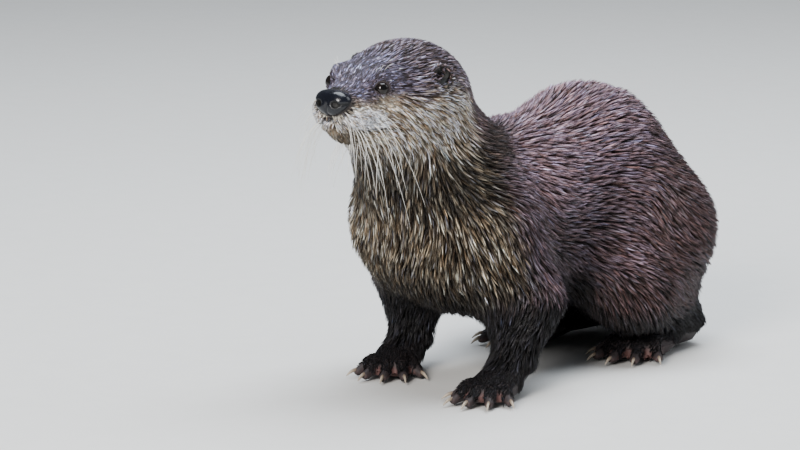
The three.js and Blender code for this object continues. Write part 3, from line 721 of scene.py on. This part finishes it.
class Sample:
    """Places strewn over the skin, at most one to a cell, with all that a tuft needs to know."""

    def __init__(self, mesh, many):
        mesh.calc_loop_triangles()
        corners = read(mesh.loop_triangles, "vertices", 3, np.int32)
        loops = read(mesh.loop_triangles, "loops", 3, np.int32)
        uv = read(mesh.uv_layers["OFBake"].data, "uv", 2)
        points, out = spine(coordinates(mesh)), normals_of(mesh)
        a, b, c = (points[corners[:, k]] for k in range(3))
        area = np.linalg.norm(np.cross(b - a, c - a), axis=1) / 2
        want = 1 / tuft_spacing(Regions((a + b + c) / 3)) ** 2
        chance = area * want
        face = rng.choice(len(area), size=many, p=chance / chance.sum())
        w = rng.random((many, 2))
        w = np.where(w.sum(1)[:, None] > 1, 1 - w, w)
        w = np.concatenate([1 - w.sum(1)[:, None], w], 1)
        values = points[corners[face]], out[corners[face]], uv[loops[face]]
        self.points, out, self.uv = (np.einsum("nk,nkd->nd", w, value) for value in values)
        self.out = unit_rows(out)
        _, first = np.unique(cells(self.points, tuft_spacing(Regions(self.points))), return_index=True)
        self.keep(np.sort(first))

    def keep(self, which):
        self.points, self.out, self.uv = self.points[which], self.out[which], self.uv[which]


def toe_share(points):
    """Sideways distance from the nearest toe, and how far along that toe: 1 at its tip."""
    near, share = np.full(len(points), 1e3), np.zeros(len(points))
    for joints, way, _ in TOE_LINES:
        distance = line_distance(points * (1, 1, 0), [j * (1, 1, 0) for j in joints])
        along = (points - joints[0]) @ way / ((joints[-1] - joints[0]) @ way)
        closer = distance < near
        near, share = np.where(closer, distance, near), np.where(closer, along, share)
    return near, share


def bald(s, r):
    """True where no tuft grows: soles, toes, lids, nose, lips and the hollow of the ear."""
    foot, height = r.foot > 0.5, s.points[:, 2]
    beside, along = toe_share(s.points)
    bare = (height < 4) | (foot & ((s.out[:, 2] < -0.3) | (along > 0.9)) & (height < 20))
    bare |= foot & (beside > 4.6) & (along > 0.12) & (height < 14)
    for name in SIDES:
        reach, _, opening = eye_view(s.points, name)
        bare |= (reach < 11) & (opening < 1.08)
    bare |= np.linalg.norm((r.h - NOSE_MIDDLE) / (NOSE_SIZE - 0.3), axis=1) < 1
    tips = s.points + 3.2 * lie_of_coat(s.points, s.out)
    bare |= (ear_distance(s.points) < 7.3) | (ear_distance(tips) < 6.0)
    return bare | ((near_mouth(s.points) < 1.1) & (r.h[:, 1] < -44))


change_all(skin, bpy.ops.uv.smart_project, angle_limit=math.radians(66), island_margin=0.002)
skin.data.uv_layers.active.name = "OFBake"

TRIES = 800000
tufts = Sample(skin.data, TRIES)
tufts.keep(~bald(tufts, Regions(tufts.points)))
regions = Regions(tufts.points)

CLUMP_SIZE = 2.0  # of the tufts' own spacing
CLUMP_STRETCH = 2.4  # clumps are this much longer along the hair than across it
finished_skin = surface_of(skin.data)


def sink(points, out):
    """Height over the skin of each point, where the skin beneath faces much the same way."""
    height = np.zeros(len(points))
    for i, point in enumerate(row(points)):
        place, normal, _, _ = finished_skin.find_nearest(Vector(point))
        if normal.dot(Vector(out[i])) > 0.3:
            height[i] = (Vector(point) - place).dot(normal) * 1000
    return height


def find_clumps(s, r, way):
    """Wet hair draws together. For each tuft: its clump's leader, and how far the tuft lies beside it,
    ahead of it and turned away from it.
    """
    _, leaders = np.unique(cells(s.points, CLUMP_SIZE * tuft_spacing(r)), return_index=True)
    tree = KDTree(len(leaders))
    for i, point in enumerate(s.points[leaders]):
        tree.insert(point, i)
    tree.balance()
    near = leaders[np.array([[k for _, k, _ in tree.find_n(point, 8)] for point in s.points])]
    gap = s.points[:, None] - s.points[near]
    across = np.cross(way, s.out)
    beside, ahead, over = ((gap * axis[near]).sum(2) for axis in (across, way, s.out))
    turned_away = 1 - (s.out[:, None] * s.out[near]).sum(2)
    best = (beside ** 2 + (ahead / CLUMP_STRETCH) ** 2 + over ** 2 + 60 * turned_away).argmin(1)
    pick = np.arange(len(best)), best
    return near[pick], beside[pick], ahead[pick], turned_away[pick]


def swirl(points):
    """A slow, smooth turn to the left or right, in radians."""
    x, y, z = points.T
    wide = 0.20 * np.sin(x / 17 + y / 23) + 0.16 * np.sin(z / 13 - y / 31 + 1.3)
    return wide + 0.10 * np.sin(x / 7 + z / 9 + 2.1)


def fringe(r, out):
    """How much further the tips stand off under the belly and behind the forelegs."""
    p = r.points
    belly = ramp(out[:, 2], -0.15, -0.6) * ramp(p[:, 2], 96, 70) * (1 - r.foot)
    behind_arm = ramp(out[:, 1], 0.35, 0.9) * r.leg * ramp(p[:, 2], 26, 40) * (p[:, 1] < 0)
    return np.maximum(belly, behind_arm)


SHARES = np.array((0, 0.36, 0.72))  # where a tuft's rings lie along it
WIDTHS = np.array((0.85, 1.0, 0.60))
TIP = 9  # the corner after three rings of three


def grow_coat(s, r):
    """Ten corners for each tuft, three rings of three and a tip. Also the leader of its clump, and how
    near it is to the clump's edge.
    """
    n = len(s.points)
    out = s.out
    way = lie_of_coat(s.points, out)
    across = np.cross(way, out)
    turn = swirl(s.points) * (1 - 0.6 * r.head) + rng.normal(0, 0.10, n)
    way = unit_rows(way + across * turn[:, None])
    leader, beside, ahead, turned_away = find_clumps(s, r, way)
    length = tuft_length(r) * rng.uniform(0.8, 1.2, n)[leader] * rng.uniform(0.85, 1.1, n)
    pull = 0.85 * (1 - 0.8 * r.muzzle) * (1 - 0.5 * r.foot) * ramp(turned_away, 0.3, 0.1)
    across = np.cross(way, out)
    along = mix(way, way[leader], pull) * length[:, None]
    along -= across[leader] * (beside * pull)[:, None] + way[leader] * (0.45 * ahead * pull)[:, None]
    along -= out * (along * out).sum(1)[:, None]
    across = unit_rows(np.cross(along, out))
    width = tuft_spacing(r) * mix(0.34, 0.42, r.muzzle) * rng.uniform(0.75, 1.25, n)
    edge = np.clip(np.abs(beside) / (0.75 * tuft_spacing(r)), 0, 1)
    lift = rng.uniform(0.95, 1.25, n)[leader] * (1.08 - 0.35 * edge)
    rise = np.maximum(coat_depth(r), 1.1) * lift + 3.5 * fringe(r, out) - 0.8 * (1 - r.leg)
    rise = np.maximum(rise, 0.9)
    bend = rng.normal(0, 0.05, n) * length
    height = sink(s.points + along, out)
    follow = np.clip(np.maximum(-height, -0.3 * height), -1.5, 4)
    root = np.minimum(0.6, 0.3 * rise)
    rings = []
    for t, wide in zip(SHARES, WIDTHS):
        height = rise * t ** 0.8 + follow * t * t - root
        centre = s.points + along * t + out * height[:, None] + across * (bend * t * t)[:, None]
        half = across * (width * wide)[:, None]
        crest = out * (width * wide * 0.9)[:, None]
        rings.append(np.stack([centre - half, centre + half, centre + crest], 1))
    end = s.points + along + out * (rise + follow - 0.4)[:, None] + across * bend[:, None]
    corners = np.concatenate([*rings, end[:, None]], 1)
    corners[:, :, 2] = np.maximum(corners[:, :, 2], 0.2)
    return corners, leader, edge


def coat_labels(r):
    y = r.points[:, 1]
    names = np.where(y < -30, "shoulders", np.where(y < 90, "loins", "haunches")).astype("U16")
    names[r.neck > 0.5] = "neck"
    names[r.head > 0.5] = "head"
    names = np.char.add(names, np.where(r.points[:, 0] > 0, "_left", "_right"))
    names[r.tail > 0.5] = "tail"
    return names


def tuft_faces(rings):
    """Triangles of one tuft with rings of three corners and a tip."""
    faces = []
    for start in range(0, rings * 3 - 3, 3):
        for k in range(3):
            a, b = start + k, start + (k + 1) % 3
            faces += [(a, b, b + 3), (a, b + 3, a + 3)]
    last, tip = rings * 3 - 3, rings * 3
    faces += [(last, last + 1, tip), (last + 1, last + 2, tip), (last + 2, last, tip), (0, 2, 1)]
    return np.array(faces)


def set_uv(mesh, name, uv_of_corners):
    write(mesh.uv_layers.new(name=name, do_init=False).data, "uv", uv_of_corners)


def set_coat_colour(mesh, colour):
    tint = np.column_stack([colour, np.ones(len(colour))])
    write(mesh.attributes.new("coat", "FLOAT_COLOR", "POINT").data, "color", tint)


def set_value(mesh, name, value):
    write(mesh.attributes.new(name, "FLOAT", "POINT").data, "value", value)


corners, leader, edge = grow_coat(tufts, regions)
count = len(tufts.points)
stray = rng.normal(0, 1, (count, 3)) * (3.2 - 2.8 * np.maximum(regions.muzzle, regions.foot))[:, None]
colour, unlike, crown = markings_and_shading(tufts.points + stray, tufts.out, Regions(tufts.points + stray))
clump_shade = rng.normal(0, 0.5, count)[leader]
shade = np.exp(unlike * (clump_shade + rng.normal(0, 0.6, count)) - 0.3 * unlike ** 2)
# Painted highlight along the middle of each clump and painted shade towards its edges, where the wet clumps
# part.
clump_shading = mix(mix(1.9, 0.30, ramp(edge, 0.1, 0.9)), 1.0, regions.muzzle)
# A few strands are painted with a bright glint of the sky, bluer on the crown.
glinting = (rng.random(count) < 0.10 + 0.10 * crown) * rng.uniform(0.5, 1.8, count) * (1 - regions.muzzle)
# Bright tips catch the sky and turn blue; the dark hairs between them stay warm.
warmth = rng.normal(0, 0.7, count)[leader] + rng.normal(0, 0.7, count) - 1.2 * np.log(shade * clump_shading)
tint = np.exp(warmth[:, None] * (0.07, -0.005, -0.09))
glint = mix(colour.mean(1)[:, None] * (0.95, 1.02, 1.2), SKY_GLINT, crown)
tuft_colour = colour * tint * (shade * clump_shading)[:, None] + glint * glinting[:, None]
tuft_colour = np.clip(tuft_colour, 0, 0.9)
serial = rng.integers(0, 60, count)
HALF_PATCH = 0.0015  # of a tuft on the unwrap of the skin
coats = []
labels = coat_labels(regions)
for label in np.unique(labels):
    chosen = np.nonzero(labels == label)[0]
    rings = 2 if label.startswith("head") else 3
    kept = [*range(rings * 3), TIP]
    points = corners[chosen][:, kept].reshape(-1, 3)
    per = len(kept)
    faces = tuft_faces(rings)
    triangles = (np.arange(len(chosen))[:, None, None] * per + faces[None]).reshape(-1, 3)
    coat = new_mesh("coat_" + label, row(points), triangles)
    corner_of = triangles.ravel()
    across, along = [0, 1, 0.5] * rings + [0.5], [*np.repeat(SHARES[:rings], 3), 1.0]
    spot = np.tile(np.stack([across, along], 1), (len(chosen), 1))
    # On the muzzle the along-value starts halfway, so the short tufts take less of the painted root shade.
    root_shade_lifted = 0.5 * np.repeat(regions.muzzle[chosen], per)
    patch = np.repeat(tufts.uv[chosen], per, axis=0) + HALF_PATCH * (2 * spot - 1)
    set_uv(coat.data, "OFBake", patch[corner_of])
    spot = np.stack([spot[:, 0] + np.repeat(serial[chosen], per), spot[:, 1] * (1 - root_shade_lifted) + root_shade_lifted], 1)
    set_uv(coat.data, "lock", spot[corner_of])
    set_coat_colour(coat.data, np.repeat(tuft_colour[chosen], per, axis=0))
    coats.append(coat)

skin_points, skin_out = spine(coordinates(skin.data)), normals_of(skin.data)
skin_regions = Regions(skin_points)
# The skin under the coat is painted much darker than the coat, as painted shade deep in the coat between the
# clumps; less so on the muzzle.
underfur_and_shade = mix(0.14, 0.85, skin_regions.muzzle)
set_coat_colour(skin.data, markings_and_shading(skin_points, skin_out, skin_regions)[0] * underfur_and_shade[:, None])
bare = skin_regions.foot * ramp(skin_points[:, 2], 27, 15)
for name in SIDES:
    reach, _, opening = eye_view(skin_points, name)
    bare = np.maximum(bare, ramp(opening, 1.6, 1.25) * (reach < 12))
set_value(skin.data, "bare", bare)
from_toe, along_toe = toe_share(skin_points)
web = ramp(from_toe, 2.8, 5.2) * ramp(along_toe, 0.25, 0.6) * ramp(skin_points[:, 2], 13, 8)
set_value(skin.data, "web", web * skin_regions.foot)


# ---- eyes, nose, claws and whiskers
def sphere(name, segments):
    bpy.ops.mesh.primitive_uv_sphere_add(segments=segments, ring_count=segments * 2 // 3, radius=1)
    made = bpy.context.object
    made.name = name
    return made


def eyeball(name):
    ball = sphere("eyeball_" + name, 48)
    unit = coordinates(ball.data)
    # The cornea stands a little proud of the ball, round the gaze along +Z.
    proud = 0.5 * ramp(unit[:, 2], 0.62, 0.95)
    set_value(ball.data, "off_gaze", np.degrees(np.arccos(np.clip(unit[:, 2], -1, 1))) / 90)
    points = EYES[name] + (unit * (EYE_RADIUS + proud)[:, None]) @ eye_axes(SIDES[name]).T
    set_coordinates(ball.data, row(points))
    return smooth(ball)


def nose_pad():
    pad = sphere("nose_pad", 96)
    u = coordinates(pad.data)
    y, z = u[:, 1], u[:, 2]
    # Rounded box rather than egg: full above, narrower below, drawn in beside the nostrils.
    fuller = (np.abs(u) ** 2.6).sum(1) ** (-1 / 2.6)
    size = NOSE_SIZE * fuller[:, None] * 0.96
    size[:, 0] *= 1 - 0.26 * ramp(z, 0.1, -0.9)
    p = u * size
    front = ramp(y, 0, -0.5)
    aside, above = np.abs(p[:, 0]), p[:, 2]
    hole = np.hypot((aside - 7.2) / 2.5, (above + 1.2) / 2.3)
    slit = bone_distance(np.stack([aside, above, above * 0], 1), (8.5, -1.6, 0), (14.5, 0.6, 0))
    inward = 6.5 * ramp(hole, 1.15, 0.5) * front + 1.6 * np.exp(-(slit ** 2)) * ramp(y, 0.35, -0.2)
    # The nostril hollows are marked here, to be painted near-black inside as painted shade.
    set_value(pad.data, "hollow", np.clip(ramp(hole, 1.5, 1.0) * front + inward / 2, 0, 1))
    rim = 0.12 * np.exp(-(((hole - 1.7) / 0.5) ** 2)) * front
    cleft = 1.1 * np.exp(-((aside / 0.8) ** 2)) * ramp(above, 1.5, -3) * front
    p += unit_rows(u / NOSE_SIZE) * (rim - cleft)[:, None] + np.array((0, 1.0, 0)) * inward[:, None]
    set_coordinates(pad.data, row(HEAD_CENTRE + (p + NOSE_MIDDLE) @ HEAD_AXES.T))
    return smooth(pad)


CLAWS = [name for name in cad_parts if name.startswith("claw")]


def all_claws():
    copies = [copy_of(name) for name in CLAWS]
    only(*copies)
    bpy.ops.object.join()
    claws = bpy.context.object
    claws.name = claws.data.name = "claws"
    merge_loose(claws)
    rounder = claws.modifiers.new("rounder", "SUBSURF")
    rounder.levels = rounder.render_levels = 2
    only(claws)
    bpy.ops.object.modifier_apply(modifier="rounder")
    points = spine(coordinates(claws.data))
    gaps = [points - (joints[-1] + way * 11) * (1, 1, 0) - (0, 0, 2) for joints, way, _ in TOE_LINES]
    set_value(claws.data, "to_tip", np.min([np.linalg.norm(gap, axis=1) for gap in gaps], axis=0) / 12)
    return smooth(claws)


def whisker(place, way, length, droop, radius):
    """A tapering hair from near a place on the head, bent from its way by a droop."""
    root = on_surface(finished_skin, on_head(*place))
    t = np.linspace(0, 1, 16)[:, None]
    way = HEAD_AXES @ (np.array(way) / np.linalg.norm(way))
    path = root - way * 1.5 + way * length * (t - 0.25 * t ** 2) + np.array(droop) * length * t ** 2
    return tube(path, radius * (1 - t[:, 0]) ** 0.7 + 0.05, 5)


def all_whiskers():
    hairs = []
    for side in SIDES.values():
        for line in range(4):
            for k in range(5):
                place = side * (11.5 + 1.9 * k), -82 + 4.4 * k, -18.5 - 3.2 * line + 0.3 * k
                aside = side * (0.85 + 0.1 * rng.normal())
                way = aside, -0.55 + 0.22 * k + 0.08 * rng.normal(), -0.10 - 0.16 * line + 0.06 * rng.normal()
                length = (24 + 4.5 * k + 3 * line) * rng.uniform(0.75, 1.15)
                droop = 0.08 * rng.normal(), 0.10 + 0.09 * rng.normal(), -0.92 + 0.14 * rng.normal()
                hairs.append(whisker(place, way, length, droop, 0.18))
        for k in range(3):
            place, way = (side * (17 + 2 * k), -64 + 3 * k, 15), (side * 0.5, -0.7 + 0.4 * k, 0.9)
            hairs.append(whisker(place, way, 13 + 2 * k, (0, 0.1, -0.25), 0.1))
        for k in range(5):
            place, way = (side * (3 + 3.5 * k), -74 + 7 * k, -50), (side * 0.25, -0.35, -0.8)
            hairs.append(whisker(place, way, 24 + 3 * k, (0, 0.05, -0.35), 0.24))
    return joined("whiskers", hairs)


eyeballs = {name: eyeball(name) for name in SIDES}
pad = nose_pad()
claws = all_claws()
whiskers = all_whiskers()


# ---- materials
class Socket:
    """Wraps a node's output, so that expressions on values add their Math nodes."""

    def __init__(self, paint, output):
        self.paint, self.output = paint, output

    def _math(self, operation, *values):
        return self.paint.node("ShaderNodeMath", {"operation": operation}, dict(enumerate(values)))

    def __add__(self, other):
        return self._math("ADD", self, other)

    def __sub__(self, other):
        return self._math("SUBTRACT", self, other)

    def __rsub__(self, other):
        return self._math("SUBTRACT", other, self)

    def __mul__(self, other):
        return self._math("MULTIPLY", self, other)

    __radd__, __rmul__ = __add__, __mul__


class Paint:
    """A material and the nodes that make it."""

    def __init__(self, name, roughness, **fixed):
        self.material = bpy.data.materials.new(name)
        self.material.use_nodes = True
        self.tree = self.material.node_tree
        self.tree.nodes.clear()
        self.shader = self.tree.nodes.new("ShaderNodeBsdfPrincipled")
        end = self.tree.nodes.new("ShaderNodeOutputMaterial")
        self.tree.links.new(self.shader.outputs[0], end.inputs[0])
        self.put(self.shader, {"Roughness": roughness})
        self.surface(**fixed)

    def put(self, node, values):
        for key, value in values.items():
            if isinstance(value, Socket):
                self.tree.links.new(value.output, node.inputs[key])
            else:
                node.inputs[key].default_value = value

    def node(self, kind, settings=None, values=None, output=0):
        made = self.tree.nodes.new(kind)
        for key, value in (settings or {}).items():
            setattr(made, key, value)
        self.put(made, values or {})
        return Socket(self, made.outputs[output])

    def colour_mix(self, share, a, b, blend="MIX"):
        settings = {"data_type": "RGBA", "blend_type": blend}
        return self.node("ShaderNodeMix", settings, {0: share, 6: a, 7: b}, 2)

    def surface(self, **values):
        self.put(self.shader, {key.replace("_", " "): value for key, value in values.items()})

    def bump(self, height, distance, strength=1.0):
        values = {"Height": height, "Distance": distance, "Strength": strength}
        return self.node("ShaderNodeBump", None, values)

    def noise(self, vector, scale, detail=2.0):
        return self.node("ShaderNodeTexNoise", None, {"Vector": vector, "Scale": scale, "Detail": detail})

    def step(self, value, low, high):
        """0 below low and 1 above high, eased."""
        settings = {"interpolation_type": "SMOOTHSTEP"}
        return self.node("ShaderNodeMapRange", settings, {"Value": value, "From Min": low, "From Max": high})

    def attribute(self, name, output=2):
        return self.node("ShaderNodeAttribute", {"attribute_name": name}, None, output)

    def place(self):
        return self.node("ShaderNodeTexCoord", None, None, 3)


def rgba(*colour):
    return (*colour, 1.0)


def fur_paint():
    p = Paint("wet_fur", 0.4, Specular_IOR_Level=0.28)
    lock = p.node("ShaderNodeUVMap", {"uv_map": "lock"})
    along = p.node("ShaderNodeSeparateXYZ", None, {0: lock}, 1)
    stretched = p.node("ShaderNodeVectorMath", {"operation": "MULTIPLY"}, {0: lock, 1: (6.0, 0.7, 1.0)})
    hairs = p.noise(stretched, 1.0, 2.0)
    light = p.step(along, 0.0, 0.8) * 0.75 + p.step(hairs, 0.35, 0.68) * 0.35 - 0.08
    # Painted shade at the roots, deep in the coat, and a painted bluish sheen towards the tips.
    root_shade_tip_sheen = p.colour_mix(light, rgba(0.22, 0.15, 0.11), rgba(1.60, 1.62, 1.80))
    colour = p.colour_mix(1.0, p.attribute("coat", 0), root_shade_tip_sheen, "MULTIPLY")
    p.surface(Base_Color=colour, Roughness=hairs * 0.25 + 0.25, Normal=p.bump(hairs, 0.0007, 1.0))
    return p.material


def skin_paint():
    p = Paint("skin", 0.5, Specular_IOR_Level=0.3)
    place = p.place()
    bare = p.attribute("bare")
    under = p.attribute("coat", 0)
    fine = p.noise(place, 900, 3.0)
    broad = p.noise(place, 60, 3.0)
    foot = p.colour_mix(broad, rgba(0.016, 0.013, 0.014), rgba(0.044, 0.033, 0.034))
    foot = p.colour_mix(p.attribute("web") * 0.75, foot, rgba(0.11, 0.050, 0.045))
    colour = p.colour_mix(bare, under, foot)
    cells = p.node("ShaderNodeTexVoronoi", {"feature": "DISTANCE_TO_EDGE"}, {"Vector": place, "Scale": 480.0})
    height = fine * 0.4 + cells * bare * 1.0
    p.surface(Base_Color=colour, Roughness=broad * 0.25 + 0.50, Normal=p.bump(height, 0.0003, 0.5))
    return p.material


def eye_paint():
    p = Paint("eye", 0.04, IOR=1.40, Specular_IOR_Level=0.5)
    off = p.attribute("off_gaze")
    fibres = p.noise(p.place(), 700, 2.0)
    iris = p.colour_mix(fibres, rgba(0.003, 0.002, 0.002), rgba(0.010, 0.006, 0.004))
    colour = p.colour_mix(p.step(off, 0.17, 0.21), rgba(0.002, 0.002, 0.002), iris)
    colour = p.colour_mix(p.step(off, 0.46, 0.58), colour, rgba(0.004, 0.003, 0.003))
    p.surface(Base_Color=colour)
    return p.material


def nose_paint():
    p = Paint("nose_leather", 0.3, Specular_IOR_Level=0.4)
    place = p.place()
    cells = p.node("ShaderNodeTexVoronoi", {"feature": "SMOOTH_F1"}, {"Vector": place, "Scale": 1000.0})
    broad = p.noise(place, 120, 2.0)
    colour = p.colour_mix(broad, rgba(0.002, 0.0022, 0.004), rgba(0.005, 0.006, 0.011))
    # Painted shade: the nostril hollows are painted near-black.
    colour = p.colour_mix(p.attribute("hollow"), colour, rgba(0.001, 0.001, 0.001))
    rough = broad * 0.18 + 0.10 + p.attribute("hollow") * 0.6
    p.surface(Base_Color=colour, Roughness=rough, Normal=p.bump(cells, 0.0003, 0.25))
    return p.material


def claw_paint():
    p = Paint("claw_horn", 0.35)
    streaks = p.noise(p.place(), 260, 3.0)
    tip = p.attribute("to_tip")
    colour = p.colour_mix(p.step(tip, 0.35, 0.95), rgba(0.42, 0.36, 0.28), rgba(0.13, 0.085, 0.060))
    colour = p.colour_mix(streaks * 0.5, colour, rgba(0.20, 0.14, 0.10))
    p.surface(Base_Color=colour, Roughness=streaks * 0.2 + 0.25)
    return p.material


def whisker_paint():
    p = Paint("whisker", 0.3)
    colour = p.colour_mix(p.noise(p.place(), 90, 1.0), rgba(0.62, 0.60, 0.55), rgba(0.80, 0.79, 0.76))
    p.surface(Base_Color=colour)
    return p.material


def dress(obj, material, slot, *nodes):
    obj.data.materials.clear()
    obj.data.materials.append(material)
    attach(obj, "root")
    if nodes:
        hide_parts(*nodes)


fur = fur_paint()
dress(skin, skin_paint(), "fur", *FLESH)
for coat in coats:
    dress(coat, fur, "fur")
eye_look = eye_paint()
for name, ball in eyeballs.items():
    dress(ball, eye_look, "eye", "eye_" + name)
dress(pad, nose_paint(), "nose_pad", "nose")
dress(claws, claw_paint(), "claw", *CLAWS)
dress(whiskers, whisker_paint(), "whisker")

# ---- stage
bpy.ops.mesh.primitive_plane_add(size=40, location=(0, 0, 0))
floor = bpy.context.object
floor.name = "floor"
paper = Paint("pale_paper", 0.85)
grain = paper.noise(paper.place(), 40, 2.0)
paper.surface(Base_Color=paper.colour_mix(grain, rgba(0.66, 0.65, 0.63), rgba(0.70, 0.69, 0.67)))
floor.data.materials.append(paper.material)


def softbox(name, place, aim, size, watts, colour):
    bpy.ops.object.light_add(type="AREA", location=place)
    lamp = bpy.context.object
    lamp.name = name
    lamp.data.size, lamp.data.energy, lamp.data.color = size, watts, colour
    lamp.rotation_euler = (Vector(aim) - Vector(place)).to_track_quat("-Z", "Y").to_euler()


softbox("sky", (0.1, 0.4, 2.6), (0.05, 0, 0.1), 2.2, 150, (0.86, 0.93, 1))
softbox("window", (0.95, -2.75, 1.45), (0.05, -0.1, 0.12), 1.1, 140, (1, 0.97, 0.93))
softbox("behind", (1.6, 2.0, 1.5), (0, 0, 0.15), 1.2, 14, (0.9, 0.95, 1))
world = bpy.data.worlds.new("room")
bpy.context.scene.world = world
world.use_nodes = True
world.node_tree.nodes["Background"].inputs[0].default_value = (0.80, 0.85, 0.93, 1)
world.node_tree.nodes["Background"].inputs[1].default_value = 0.28
